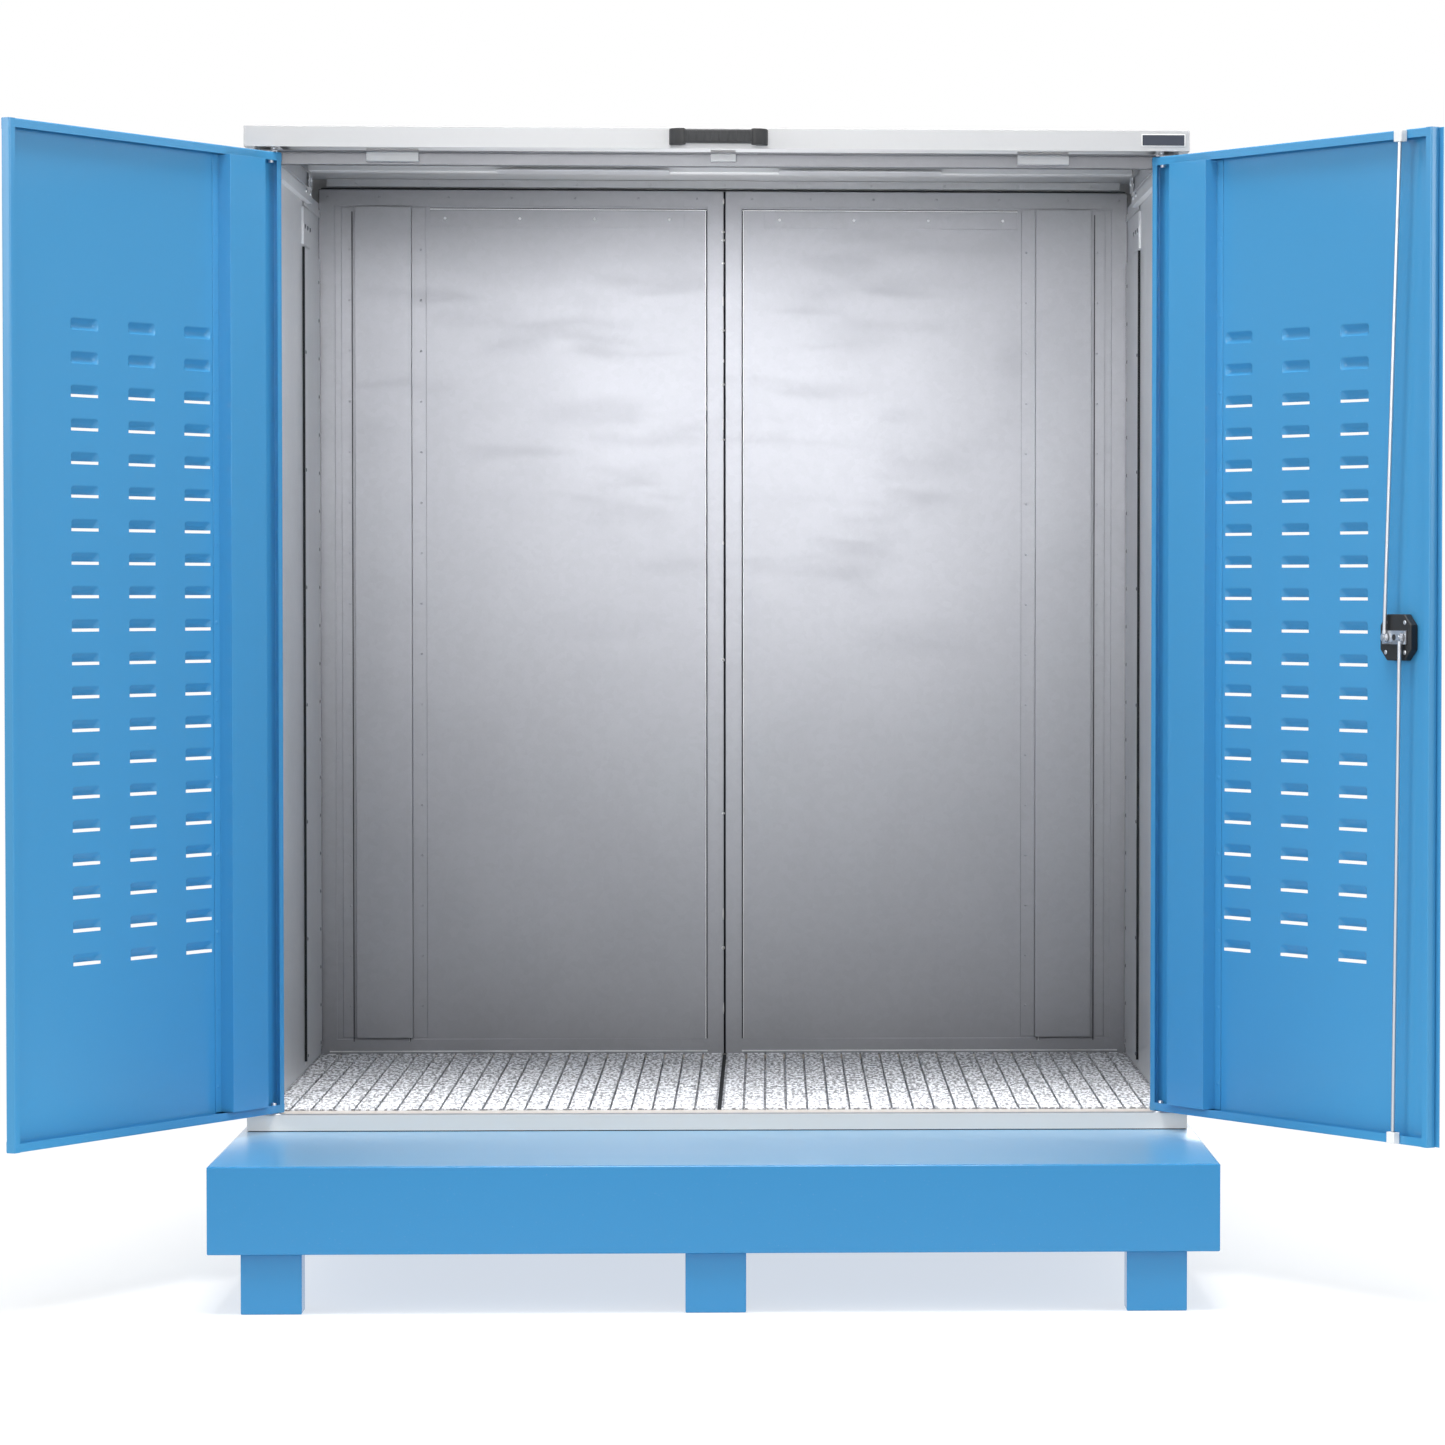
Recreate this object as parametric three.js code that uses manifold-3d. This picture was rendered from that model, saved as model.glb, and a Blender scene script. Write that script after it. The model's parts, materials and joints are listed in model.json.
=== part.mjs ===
// A hazardous drum store: a folded-steel sump tray on feet carries a sheet-metal cabinet with two
// louvred pivot doors and a lift-up lid. The drums stand on two gratings over the sump.
// Millimetres, X to the right and Z up. The pieces are drawn with y = 0 at the front of the cabinet
// and y growing to the back; each is then moved so that the origin is under the tray's middle.
import * as THREE from "three";
import { mergeVertices } from "three/addons/utils/BufferGeometryUtils.js";
import Module from "manifold-3d";

const wasm = await Module();
wasm.setup();
const { Manifold } = wasm;

// Driving dimensions
const bodyWidth = 1460;
const bodyDepth = 1140;
const footHeight = 89;
const trayHeight = 129;
const trayWidth = 1480;
const trayProjection = 523;
const trayRearMargin = 10;
const sillHeight = 26;
const sillDepth = 73;
const doorHeight = 1485.7;
const doorThickness = 15;
const lidHeight = 33;
const lidOverlap = 14;
const leftDoorAngle = 118;
const rightDoorAngle = 121;
const gratingHeight = 27;

// Sheet thicknesses
const traySheet = 3;
const footSheet = 4;
const frameSheet = 1.5;
const doorSheet = 1;

// Clearances and the overrun of every cut
const seatGap = 0.3;
const turnGap = 0.6;
const doorBottomGap = 2.5;
const doorTopGap = 8;
const doorMeetingGap = 3;
const doorSideGap = 20.9;
const wallInset = 3;
const overrun = 3;

const quarterTurn = 90;
const roundSides = 16;
const rodSides = 12;

// Levels, from the floor up
const trayTop = footHeight + trayHeight;
const baseTop = trayTop + sillHeight;
const doorBottom = baseTop + doorBottomGap;
const doorTop = doorBottom + doorHeight;
const skirtBottom = doorTop + doorTopGap;
const lidTop = skirtBottom + lidHeight;
const wallTop = skirtBottom + lidOverlap;

const bodyHalf = bodyWidth / 2;
const trayHalf = trayWidth / 2;
const wallHalf = bodyHalf - wallInset;
const trayBack = bodyDepth + trayRearMargin;
const trayMiddleY = (trayBack - trayProjection) / 2;

// Finishes
const finish = (color, roughness, metalness) => new THREE.MeshStandardMaterial({ color, roughness, metalness });
const bluePaint = finish(0x4c9bd0, 0.38, 0);
const greyPaint = finish(0xdcdde0, 0.42, 0);
const galvanised = finish(0xa9acb1, 0.42, 0.85);
const gratingZinc = finish(0xc9ccd0, 0.5, 0.8);
const blackPlastic = finish(0x26272b, 0.5, 0);
const zincPlate = finish(0xb8babd, 0.3, 0.9);
const whiteNylon = finish(0xe8e8e6, 0.55, 0);

// Solids: three.js makes each form, and manifold-3d joins and cuts them.
function solid(geometry) {
  const bare = new THREE.BufferGeometry().setAttribute("position", geometry.getAttribute("position"));
  if (geometry.index) bare.setIndex(geometry.index);
  const merged = mergeVertices(bare);
  return new Manifold(
    new wasm.Mesh({
      numProp: 3,
      vertProperties: new Float32Array(merged.attributes.position.array),
      triVerts: new Uint32Array(merged.index.array),
    }),
  );
}

function geometryOf(body) {
  const mesh = body.getMesh();
  const points = new Float32Array(mesh.vertProperties.length);
  points.set(mesh.vertProperties);
  const geometry = new THREE.BufferGeometry().setAttribute("position", new THREE.BufferAttribute(points, 3));
  geometry.setIndex(new THREE.BufferAttribute(new Uint32Array(mesh.triVerts), 1));
  geometry.computeVertexNormals();
  return geometry;
}

const union = (bodies) => Manifold.union(bodies);
const cut = (body, tools) => body.subtract(union(tools));

const outline = (points) => new THREE.Shape(points.map(([a, b]) => new THREE.Vector2(a, b)));

const extrude = (shape, depth) => new THREE.ExtrudeGeometry(shape, { depth, bevelEnabled: false });

// An outline in (y, z) drawn out along X, one in (x, z) along Y, and one in (x, y) along Z.
function alongX(shape, from, to) {
  const turn = new THREE.Matrix4().makeBasis(
    new THREE.Vector3(0, 1, 0),
    new THREE.Vector3(0, 0, 1),
    new THREE.Vector3(1, 0, 0),
  );
  return solid(extrude(shape, to - from).applyMatrix4(turn).translate(from, 0, 0));
}

function alongY(shape, from, to) {
  const turn = new THREE.Matrix4().makeBasis(
    new THREE.Vector3(1, 0, 0),
    new THREE.Vector3(0, 0, 1),
    new THREE.Vector3(0, -1, 0),
  );
  return solid(extrude(shape, to - from).applyMatrix4(turn).translate(0, to, 0));
}

const alongZ = (shape, from, to) => solid(extrude(shape, to - from).translate(0, 0, from));

function box(low, high) {
  const size = high.map((value, i) => value - low[i]);
  return solid(new THREE.BoxGeometry(...size).translate(...size.map((value, i) => low[i] + value / 2)));
}

function rod(radius, from, to, sides = roundSides) {
  const a = new THREE.Vector3(...from);
  const b = new THREE.Vector3(...to);
  const direction = b.clone().sub(a);
  const geometry = new THREE.CylinderGeometry(radius, radius, direction.length(), sides);
  const turn = new THREE.Quaternion().setFromUnitVectors(new THREE.Vector3(0, 1, 0), direction.normalize());
  return solid(geometry.applyQuaternion(turn).translate(...a.add(b).multiplyScalar(1 / 2).toArray()));
}

// A folded strip of sheet: a bent line of points, thickened to its left.
function fold(points, thickness) {
  const normals = points.slice(1).map((point, i) => {
    const direction = new THREE.Vector2(point[0] - points[i][0], point[1] - points[i][1]).normalize();
    return new THREE.Vector2(-direction.y, direction.x);
  });
  const offset = points.map(([a, b], i) => {
    const before = normals[Math.max(i - 1, 0)];
    const after = normals[Math.min(i, normals.length - 1)];
    const mitre = before.clone().add(after);
    mitre.multiplyScalar((2 * thickness) / mitre.lengthSq());
    return [a + mitre.x, b + mitre.y];
  });
  return outline([...points, ...offset.reverse()]);
}

const mirrorX = (body) => body.mirror([1, 0, 0]);
const mirrorY = (body) => body.mirror([0, 1, 0]);

const model = new THREE.Group();

function place(name, body, material) {
  const mesh = new THREE.Mesh(geometryOf(body.translate([0, -trayMiddleY, 0])), material);
  mesh.name = name;
  model.add(mesh);
}

// A part for each side: the left one is drawn, and the right one is its mirror image.
function placePair(name, body, material) {
  place(name + "_left", body, material);
  place(name + "_right", mirrorX(body), material);
}

// Sump tray: four walls, and between them a floor and a deck plate that is open under the gratings
const tray = { rim: 40, deckReach: 60 };

function sumpTray() {
  const outer = box([-trayHalf, -trayProjection, footHeight], [trayHalf, trayBack, trayTop]);
  const inner = box(
    [-trayHalf + traySheet, -trayProjection + traySheet, footHeight - overrun],
    [trayHalf - traySheet, trayBack - traySheet, trayTop + overrun],
  );
  place("sump_tray", outer.subtract(inner), bluePaint);

  const edge = traySheet + seatGap;
  const floor = box(
    [-trayHalf + edge, -trayProjection + edge, footHeight],
    [trayHalf - edge, trayBack - edge, footHeight + traySheet],
  );
  place("sump_floor", floor, bluePaint);

  const deck = box(
    [-trayHalf + edge, -trayProjection + edge, trayTop - traySheet],
    [trayHalf - edge, trayBack - edge, trayTop],
  );
  const mouth = box(
    [-trayHalf + tray.rim, tray.deckReach, trayTop - traySheet - overrun],
    [trayHalf - tray.rim, trayBack - tray.rim, trayTop + overrun],
  );
  place("tray_deck", deck.subtract(mouth), bluePaint);
}

// Feet: boxes folded from plate, open at the back, in three rows of three
const foot = { width: 89, depth: 58, frontInset: 15, sideInset: 92 };

function feet() {
  const half = foot.width / 2;
  const hollow = box(
    [-half + footSheet, footSheet, footSheet],
    [half - footSheet, foot.depth + overrun, footHeight + overrun],
  );
  const shell = box([-half, 0, 0], [half, foot.depth, footHeight - seatGap]).subtract(hollow);
  const sideX = trayHalf - foot.sideInset;
  for (const [side, x] of [["left", -sideX], ["centre", 0], ["right", sideX]]) {
    place("foot_front_" + side, shell.translate([x, foot.frontInset - trayProjection, 0]), bluePaint);
    place("foot_middle_" + side, shell.translate([x, trayMiddleY - foot.depth / 2, 0]), bluePaint);
    place("foot_rear_" + side, mirrorY(shell).translate([x, trayBack - foot.frontInset, 0]), bluePaint);
  }
}

// Base frame: folded rails on the tray's rim, each with a ledge inside for the gratings
const rail = { depth: 22, rearDepth: 27, ledge: 24, ledgeLift: 1.5 };

function railProfile(depth) {
  const ledgeTop = trayTop + seatGap + rail.ledgeLift;
  return fold(
    [
      [depth + rail.ledge, ledgeTop],
      [depth, ledgeTop],
      [depth, baseTop],
      [0, baseTop],
      [0, trayTop + seatGap],
    ],
    frameSheet,
  );
}

// A corner of a front or rear rail where the ledge and the web make room for the side rail
function railCorner(side, depth) {
  const reach = rail.depth + rail.ledge + seatGap;
  const inner = side * (bodyHalf - reach);
  const outer = side * (bodyHalf + overrun);
  return box(
    [Math.min(inner, outer), depth + seatGap / 2, trayTop],
    [Math.max(inner, outer), depth + rail.ledge + overrun, baseTop - seatGap],
  );
}

const keeper = { width: 16, depth: 10 };

function baseFrame() {
  const corners = (depth) => [railCorner(-1, depth), railCorner(1, depth)];
  const keeperX = door.edgeX - lock.lowerGuideU;
  const keeperY = door.lipY - lock.rodV;
  const hole = box(
    [keeperX - keeper.width / 2, keeperY - keeper.depth / 2, baseTop - frameSheet - overrun],
    [keeperX + keeper.width / 2, keeperY + keeper.depth / 2, baseTop + overrun],
  );
  const front = alongX(railProfile(sillDepth), -bodyHalf, bodyHalf);
  place("front_sill", cut(front, [...corners(sillDepth), hole]), greyPaint);

  const rear = alongX(railProfile(rail.rearDepth), -bodyHalf, bodyHalf);
  const trimmed = cut(rear, corners(rail.rearDepth));
  place("base_rail_rear", mirrorY(trimmed).translate([0, bodyDepth, 0]), greyPaint);

  const side = alongY(railProfile(rail.depth), sillDepth + seatGap, bodyDepth - rail.rearDepth - seatGap);
  placePair("base_rail", side.translate([-bodyHalf, 0, 0]), greyPaint);
}

// Gratings: two pressed-bar panels that lie on the ledges over the sump
const grating = { border: 4, bar: 3, crossBar: 4, bays: 21, crossBays: 4, middleGap: 3, sideGap: 3.4 };

function gratings() {
  const low = -bodyHalf + rail.depth + grating.sideGap;
  const high = -grating.middleGap / 2;
  const front = sillDepth + turnGap;
  const rear = bodyDepth - rail.rearDepth - turnGap;
  const bottom = trayTop + rail.ledgeLift + 2 * seatGap;
  const pitch = (high - low - 2 * grating.border + grating.bar) / grating.bays;
  const crossPitch = (rear - front - 2 * grating.border + grating.crossBar) / grating.crossBays;
  const holes = [];
  for (let column = 0; column < grating.bays; column++) {
    for (let row = 0; row < grating.crossBays; row++) {
      const x = low + grating.border + column * pitch;
      const y = front + grating.border + row * crossPitch;
      holes.push(
        box(
          [x, y, bottom - overrun],
          [x + pitch - grating.bar, y + crossPitch - grating.crossBar, bottom + gratingHeight + overrun],
        ),
      );
    }
  }
  const slab = box([low, front, bottom], [high, rear, bottom + gratingHeight]);
  placePair("grating", cut(slab, holes), gratingZinc);
}

// Walls: an outer folded sheet with a post at its front edge, and a liner pan inside it
const wall = { returnDepth: 14, postY: 32, postReach: 21.4, linerDepth: 20, linerLip: 22, linerTop: 24 };
const strip = { front: 360, rear: 40, raise: 2, margin: 12 };
const bracket = { front: 377, rear: 243, low: 117.2, height: 63, raise: 4 };

function walls() {
  const bottom = baseTop + seatGap;
  const back = bodyDepth - wallInset;
  const plan = fold(
    [
      [-wallHalf + wall.postReach, back],
      [-wallHalf, back],
      [-wallHalf, wallInset],
      [-wallHalf + wall.returnDepth, wallInset],
      [-wallHalf + wall.returnDepth, wall.postY],
      [-wallHalf + wall.postReach, wall.postY],
    ],
    frameSheet,
  );
  placePair("side_wall", alongZ(plan, bottom, wallTop), greyPaint);

  const faceX = -wallHalf + frameSheet + seatGap + wall.linerDepth;
  const backX = faceX - wall.linerDepth;
  const front = wall.postY + frameSheet + seatGap;
  const rear = back - frameSheet - seatGap;
  const pan = box([backX, front, bottom], [faceX, rear, wallTop - wall.linerTop]);
  const hollow = box(
    [backX + frameSheet, front + frameSheet, bottom + frameSheet],
    [faceX - frameSheet, rear - frameSheet, wallTop - wall.linerTop - frameSheet],
  );
  const window = box(
    [backX - overrun, front + wall.linerLip, bottom + wall.linerLip],
    [backX + frameSheet + overrun, rear - wall.linerLip, wallTop - wall.linerTop - wall.linerLip],
  );
  const bracketZ = wallTop - bracket.low;
  const pad = box(
    [faceX - frameSheet / 2, bodyDepth - strip.front, bottom + strip.margin],
    [faceX + strip.raise, bodyDepth - strip.rear, bracketZ - strip.margin],
  );
  const plate = box(
    [faceX - frameSheet / 2, bodyDepth - bracket.front, bracketZ],
    [faceX + bracket.raise, bodyDepth - bracket.rear, bracketZ + bracket.height],
  );
  placePair("side_liner", union([cut(pan, [hollow, window]), pad, plate]), galvanised);
}

// Back wall: two framed pans that meet in the middle, each with a recessed field and a hat rib
const back = { depth: 23.7, border: 28, recess: 3, topLip: 72, lip: 20, middleGap: 3, edge: 22.2 };
const rib = { inset: 87, width: 95, flange: 26, height: 18, margin: 3 };

function backWall() {
  const front = bodyDepth - wallInset - seatGap - back.depth;
  const rear = front + back.depth;
  const low = -wallHalf + back.edge;
  const high = -back.middleGap / 2;
  const bottom = baseTop + seatGap;
  const shell = box([low, front, bottom], [high, rear, wallTop]);
  const hollow = box(
    [low + frameSheet, front + frameSheet, bottom + frameSheet],
    [high - frameSheet, rear - frameSheet, wallTop - frameSheet],
  );
  const window = box(
    [low + back.lip, rear - frameSheet - overrun, bottom + back.lip],
    [high - back.lip, rear + overrun, wallTop - back.topLip],
  );
  const step = frameSheet;
  const field = box(
    [low + back.border - step, front + step / 2, bottom + back.border - step],
    [high - back.border + step, front + back.recess + step, wallTop - back.border + step],
  );
  const recess = box(
    [low + back.border, front - overrun, bottom + back.border],
    [high - back.border, front + back.recess, wallTop - back.border],
  );
  const pan = cut(union([cut(shell, [hollow, window]), field]), [recess]);
  placePair("back_panel", pan, galvanised);

  const sheetY = front + back.recess - seatGap;
  const ribOuter = wallHalf - rib.inset;
  const ribInner = ribOuter - rib.width;
  const hat = fold(
    [
      [-ribInner + rib.flange, sheetY],
      [-ribInner, sheetY],
      [-ribInner, sheetY - rib.height],
      [-ribOuter, sheetY - rib.height],
      [-ribOuter, sheetY],
      [-ribOuter - rib.flange, sheetY],
    ],
    frameSheet,
  );
  const ribLow = bottom + back.border + rib.margin;
  placePair("back_rib", alongZ(hat, ribLow, wallTop - back.border - rib.margin), galvanised);
}

// Head beam over the doors: its front flange carries the upper pivots and keeps the lock's rod
const head = { front: 6, web: 34, rear: 66, lift: 1.8, height: 18, endGap: 0.5 };
const headTop = doorTop + head.lift;
const headBottom = headTop - head.height;
const stop = { front: 17, drop: 12.2, centreDrop: 9.2, seat: 0.7, inset: 184, width: 80, centre: 7, centreWidth: 39 };

function headBeam() {
  const half = wallHalf - wall.postReach - head.endGap;
  const profile = fold(
    [[head.front, headTop], [head.web, headTop], [head.web, headBottom], [head.rear, headBottom]],
    frameSheet,
  );
  const keeperX = door.edgeX - lock.upperGuideU;
  const keeperY = door.lipY - lock.rodV;
  const hole = box(
    [keeperX - keeper.width / 2, keeperY - keeper.depth / 2, headTop - overrun],
    [keeperX + keeper.width / 2, keeperY + keeper.depth / 2, headTop + frameSheet + overrun],
  );
  place("head_beam", cut(alongX(profile, -half, half), [hole]), galvanised);

  const sideX = wallHalf - stop.inset - stop.width / 2;
  for (const [side, x, width, drop] of [
    ["left", -sideX, stop.width, stop.drop],
    ["centre", stop.centre, stop.centreWidth, stop.centreDrop],
    ["right", sideX, stop.width, stop.drop],
  ]) {
    const low = doorTop - drop;
    const angle = fold([[head.web - seatGap, low], [stop.front, low], [stop.front, headTop - stop.seat]], -frameSheet);
    place("door_stop_" + side, alongX(angle, x - width / 2, x + width / 2), galvanised);
  }
}

// Doors: folded pans with lips all round, drawn as (u from the hinge edge, v from the lips' plane)
const doorEdgeX = bodyHalf - doorSideGap;
const door = { lip: 13, pivotU: 20, pivotV: 7, pivotY: 9, astragal: 9, edgeX: doorEdgeX };
door.width = doorEdgeX - doorMeetingGap / 2;
door.lipY = door.pivotY + door.pivotV;
const louvre = { first: 178, columns: 3, columnPitch: 146.5, width: 70, rows: 20, blindRows: 2, pitch: 49, bottom: 259.5 };
const hood = { window: 17.5, slit: 4.5, reach: 6.5, wall: 1.1 };
const stiffener = { inner: 59, outer: 156, flange: 16, proud: 9 };

// From door terms to the cabinet: the closed door, then turned open about its pivot.
function intoDoor(body, side) {
  const sign = side === "left" ? 1 : -1;
  const closed = body.mirror([0, 1, 0]).translate([-door.pivotU, door.pivotV, 0]);
  const handed = sign > 0 ? closed : mirrorX(closed);
  const angle = side === "left" ? -leftDoorAngle : rightDoorAngle;
  const pivotX = door.pivotU - door.edgeX;
  return handed.rotate([0, 0, angle]).translate([sign * pivotX, door.pivotY, 0]);
}

function louvreHood(low, blind) {
  const skin = doorThickness - doorSheet;
  const foot = low + (blind ? hood.wall : hood.slit);
  const outerFoot = blind ? low - hood.slit : foot;
  return outline([
    [skin + doorSheet / 2, low + hood.window + hood.wall],
    [skin + doorSheet / 2, outerFoot],
    [doorThickness + hood.reach, foot],
  ]);
}

function louvreHollow(low, blind) {
  const skin = doorThickness - doorSheet;
  const tip = blind ? low + hood.slit : low;
  return outline([
    [skin - overrun, low],
    [skin, low],
    [doorThickness + hood.reach - hood.wall, tip],
    [doorThickness + hood.reach - hood.wall, low + hood.slit + hood.wall / 2],
    [skin + hood.wall / 2, low + hood.window],
    [skin - overrun, low + hood.window],
  ]);
}

function doorShell(side) {
  const top = doorTop;
  const outer = box([0, 0, doorBottom], [door.width, doorThickness, top]);
  const hollow = box(
    [doorSheet, doorSheet, doorBottom + doorSheet],
    [door.width - doorSheet, doorThickness - doorSheet, top - doorSheet],
  );
  const window = box(
    [door.lip, -overrun, doorBottom + door.lip],
    [door.width - door.lip, doorSheet + overrun, top - door.lip],
  );
  const hoods = [];
  const tools = [hollow, window];
  for (let column = 0; column < louvre.columns; column++) {
    for (let row = 0; row < louvre.rows; row++) {
      const u = louvre.first + column * louvre.columnPitch;
      const low = doorBottom + louvre.bottom + row * louvre.pitch;
      const blind = row >= louvre.rows - louvre.blindRows;
      hoods.push(alongX(louvreHood(low, blind), 0, louvre.width + 2 * hood.wall).translate([u - hood.wall, 0, 0]));
      tools.push(alongX(louvreHollow(low, blind), u, u + louvre.width));
    }
  }
  const bore = pivot.radius + seatGap;
  for (const z of [doorBottom, top]) {
    tools.push(rod(bore, [door.pivotU, door.pivotV, z - overrun], [door.pivotU, door.pivotV, z + overrun]));
  }
  const forms = [outer, ...hoods];
  if (side === "right") {
    tools.push(rod(lock.spindleBore, [lock.u, 0, lock.z], [lock.u, doorThickness + overrun, lock.z]));
    forms.push(
      box(
        [door.width - 2 * door.astragal, doorThickness - doorSheet / 2, doorBottom],
        [door.width, doorThickness + frameSheet, top],
      ),
      box(
        [door.width - door.astragal, doorThickness + doorSheet / 2, doorBottom],
        [door.width + door.astragal, doorThickness + frameSheet, top],
      ),
    );
  }
  place("door_" + side, intoDoor(cut(union(forms), tools), side), bluePaint);
}

function doorStiffener(side) {
  const seat = doorThickness - doorSheet - seatGap;
  const face = doorSheet - stiffener.proud;
  const profile = fold(
    [
      [stiffener.outer + stiffener.flange, seat],
      [stiffener.outer - doorSheet, seat],
      [stiffener.outer - doorSheet, face],
      [stiffener.inner + doorSheet, face],
      [stiffener.inner + doorSheet, seat],
    ],
    doorSheet,
  );
  const margin = door.lip + seatGap;
  const hat = alongZ(profile, doorBottom + margin, doorTop - margin);
  place("door_stiffener_" + side, intoDoor(hat, side), bluePaint);
}

// Pivots: pins on small plates, the lower ones on the sill and the upper ones under the head beam
const pivot = { radius: 4, length: 18, plateX: 22, plateY: 14, plate: 1.5 };

function pivots() {
  const x = door.pivotU - door.edgeX;
  const y = door.pivotY;
  const plateAt = (low, high) =>
    box(
      [x - pivot.plateX / 2, y - pivot.plateY / 2 + doorSheet, low],
      [x + pivot.plateX / 2, y + pivot.plateY / 2 + doorSheet, high],
    );
  const sillZ = baseTop + seatGap;
  const lower = union([
    plateAt(sillZ, sillZ + pivot.plate),
    rod(pivot.radius, [x, y, sillZ], [x, y, sillZ + pivot.length]),
  ]);
  const beamZ = headTop - seatGap;
  const upper = union([
    plateAt(doorTop + seatGap * 2, beamZ),
    rod(pivot.radius, [x, y, beamZ - pivot.length], [x, y, beamZ]),
  ]);
  placePair("lower_pivot", lower, zincPlate);
  placePair("upper_pivot", upper, zincPlate);
}

// Lock on the right door: a handle outside turns a cam inside, and the cam pushes two rods out
const lock = {
  edge: 81.6, height: 744.5, bodyWidth: 74, bodyHeight: 68, bodyFace: 0.5, corner: 16, spindle: 4.5, spindleBore: 6,
  rodV: -6, rodRadius: 3, pinReach: 18.5, pinRadius: 3, eye: 7, eyeDepth: 4, camLow: -2.6, camHigh: 0.2,
  camWidth: 20, upperOffset: 15, lowerOffset: 7, rodInset: 11,
};
lock.u = door.width - lock.edge;
lock.z = doorBottom + lock.height;
lock.upperGuideU = lock.u + lock.upperOffset;
lock.lowerGuideU = lock.u + lock.lowerOffset;
const guide = { halfWidth: 9.2, slot: 7.2, depth: 11, slotDepth: 3.5, height: 17, inset: 1 };
const handle = { plate: 22, plateDepth: 4, grip: 110, gripWidth: 20, gripDepth: 14, stand: 12, seat: 0.4 };

function lockParts() {
  const halfW = lock.bodyWidth / 2;
  const halfH = lock.bodyHeight / 2;
  const octagon = [
    [-halfW, -halfH + lock.corner], [-halfW + lock.corner, -halfH],
    [halfW - lock.corner, -halfH], [halfW, -halfH + lock.corner],
    [halfW, halfH - lock.corner], [halfW - lock.corner, halfH],
    [-halfW + lock.corner, halfH], [-halfW, halfH - lock.corner],
  ].map(([a, b]) => [lock.u + a, lock.z + b]);
  const housing = alongY(outline(octagon), lock.bodyFace, doorThickness - doorSheet - seatGap);
  const bore = rod(lock.spindleBore, [lock.u, -overrun, lock.z], [lock.u, doorThickness, lock.z]);
  place("lock_housing", intoDoor(cut(housing, [bore]), "right"), blackPlastic);

  const camHalf = lock.pinReach + lock.camWidth / 2;
  const cam = union([
    box(
      [lock.u - camHalf, lock.camLow, lock.z - lock.camWidth / 2],
      [lock.u + camHalf, lock.camHigh, lock.z + lock.camWidth / 2],
    ),
    ...[-1, 1].map((side) =>
      rod(
        lock.pinRadius,
        [lock.u + side * lock.pinReach, lock.rodV - lock.rodRadius - frameSheet, lock.z],
        [lock.u + side * lock.pinReach, lock.camHigh, lock.z],
      ),
    ),
  ]);
  const camBore = rod(lock.spindle + seatGap, [lock.u, -lock.bodyHeight, lock.z], [lock.u, overrun, lock.z]);
  place("lock_cam", intoDoor(cut(cam, [camBore]), "right"), zincPlate);

  const outside = doorThickness + handle.seat;
  const knob = union([
    rod(handle.plate, [lock.u, outside, lock.z], [lock.u, outside + handle.plateDepth, lock.z], 2 * roundSides),
    rod(lock.spindle, [lock.u, lock.camLow, lock.z], [lock.u, outside + handle.plateDepth, lock.z]),
    box(
      [lock.u - handle.gripWidth / 2, outside + handle.plateDepth / 2, lock.z - handle.grip],
      [lock.u + handle.gripWidth / 2, outside + handle.stand + handle.gripDepth, lock.z + handle.gripWidth],
    ),
  ]);
  const finger = box(
    [lock.u - handle.gripWidth, outside - overrun, lock.z - handle.grip - overrun],
    [lock.u + handle.gripWidth, outside + handle.stand, lock.z - handle.plate - overrun],
  );
  place("turn_handle", intoDoor(knob.subtract(finger), "right"), blackPlastic);

  const rodPart = (side, guideU, endZ) => {
    const pinU = lock.u + side * lock.pinReach;
    const start = [pinU, lock.rodV, lock.z];
    const slope = (guideU - pinU) / (guideZ(side) - lock.z);
    const end = [pinU + slope * (endZ - lock.z), lock.rodV, endZ];
    const eye = rod(
      lock.eye,
      [pinU, lock.rodV - lock.eyeDepth / 2, lock.z],
      [pinU, lock.rodV + lock.eyeDepth / 2, lock.z],
    );
    const pinHole = rod(lock.pinRadius + seatGap, [pinU, -lock.bodyHeight, lock.z], [pinU, 0, lock.z]);
    return cut(union([eye, rod(lock.rodRadius, start, end, rodSides)]), [pinHole]);
  };
  place("rod_upper", intoDoor(rodPart(-1, lock.upperGuideU, doorTop - lock.rodInset), "right"), zincPlate);
  place("rod_lower", intoDoor(rodPart(1, lock.lowerGuideU, doorBottom + lock.rodInset), "right"), zincPlate);

  for (const [name, side, u] of [["rod_guide_upper", -1, lock.upperGuideU], ["rod_guide_lower", 1, lock.lowerGuideU]]) {
    const z = guideZ(side);
    const block = box(
      [u - guide.halfWidth, -guide.depth, z - guide.height / 2],
      [u + guide.halfWidth, -seatGap, z + guide.height / 2],
    );
    const slot = box(
      [u - guide.slot, lock.rodV - guide.slotDepth, z - guide.height],
      [u + guide.slot, lock.rodV + guide.slotDepth, z + guide.height],
    );
    place(name, intoDoor(block.subtract(slot), "right"), whiteNylon);
  }
}

// The middle of a rod guide, on the top lip for the upper rod and the bottom lip for the lower one
function guideZ(side) {
  const reach = guide.inset + guide.height / 2;
  return side < 0 ? doorTop - reach : doorBottom + reach;
}

// Lid: a shallow pan over the walls, with a cross rail inside and a bow handle in front
const lid = { railInset: 50, railGap: 13, railWidth: 40, railDepth: 21.5, railFlange: 18 };
const bow = { half: 76, foot: 20, reach: 28, gripHalf: 60, lift: 4.8, height: 25, wall: 11 };

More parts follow.
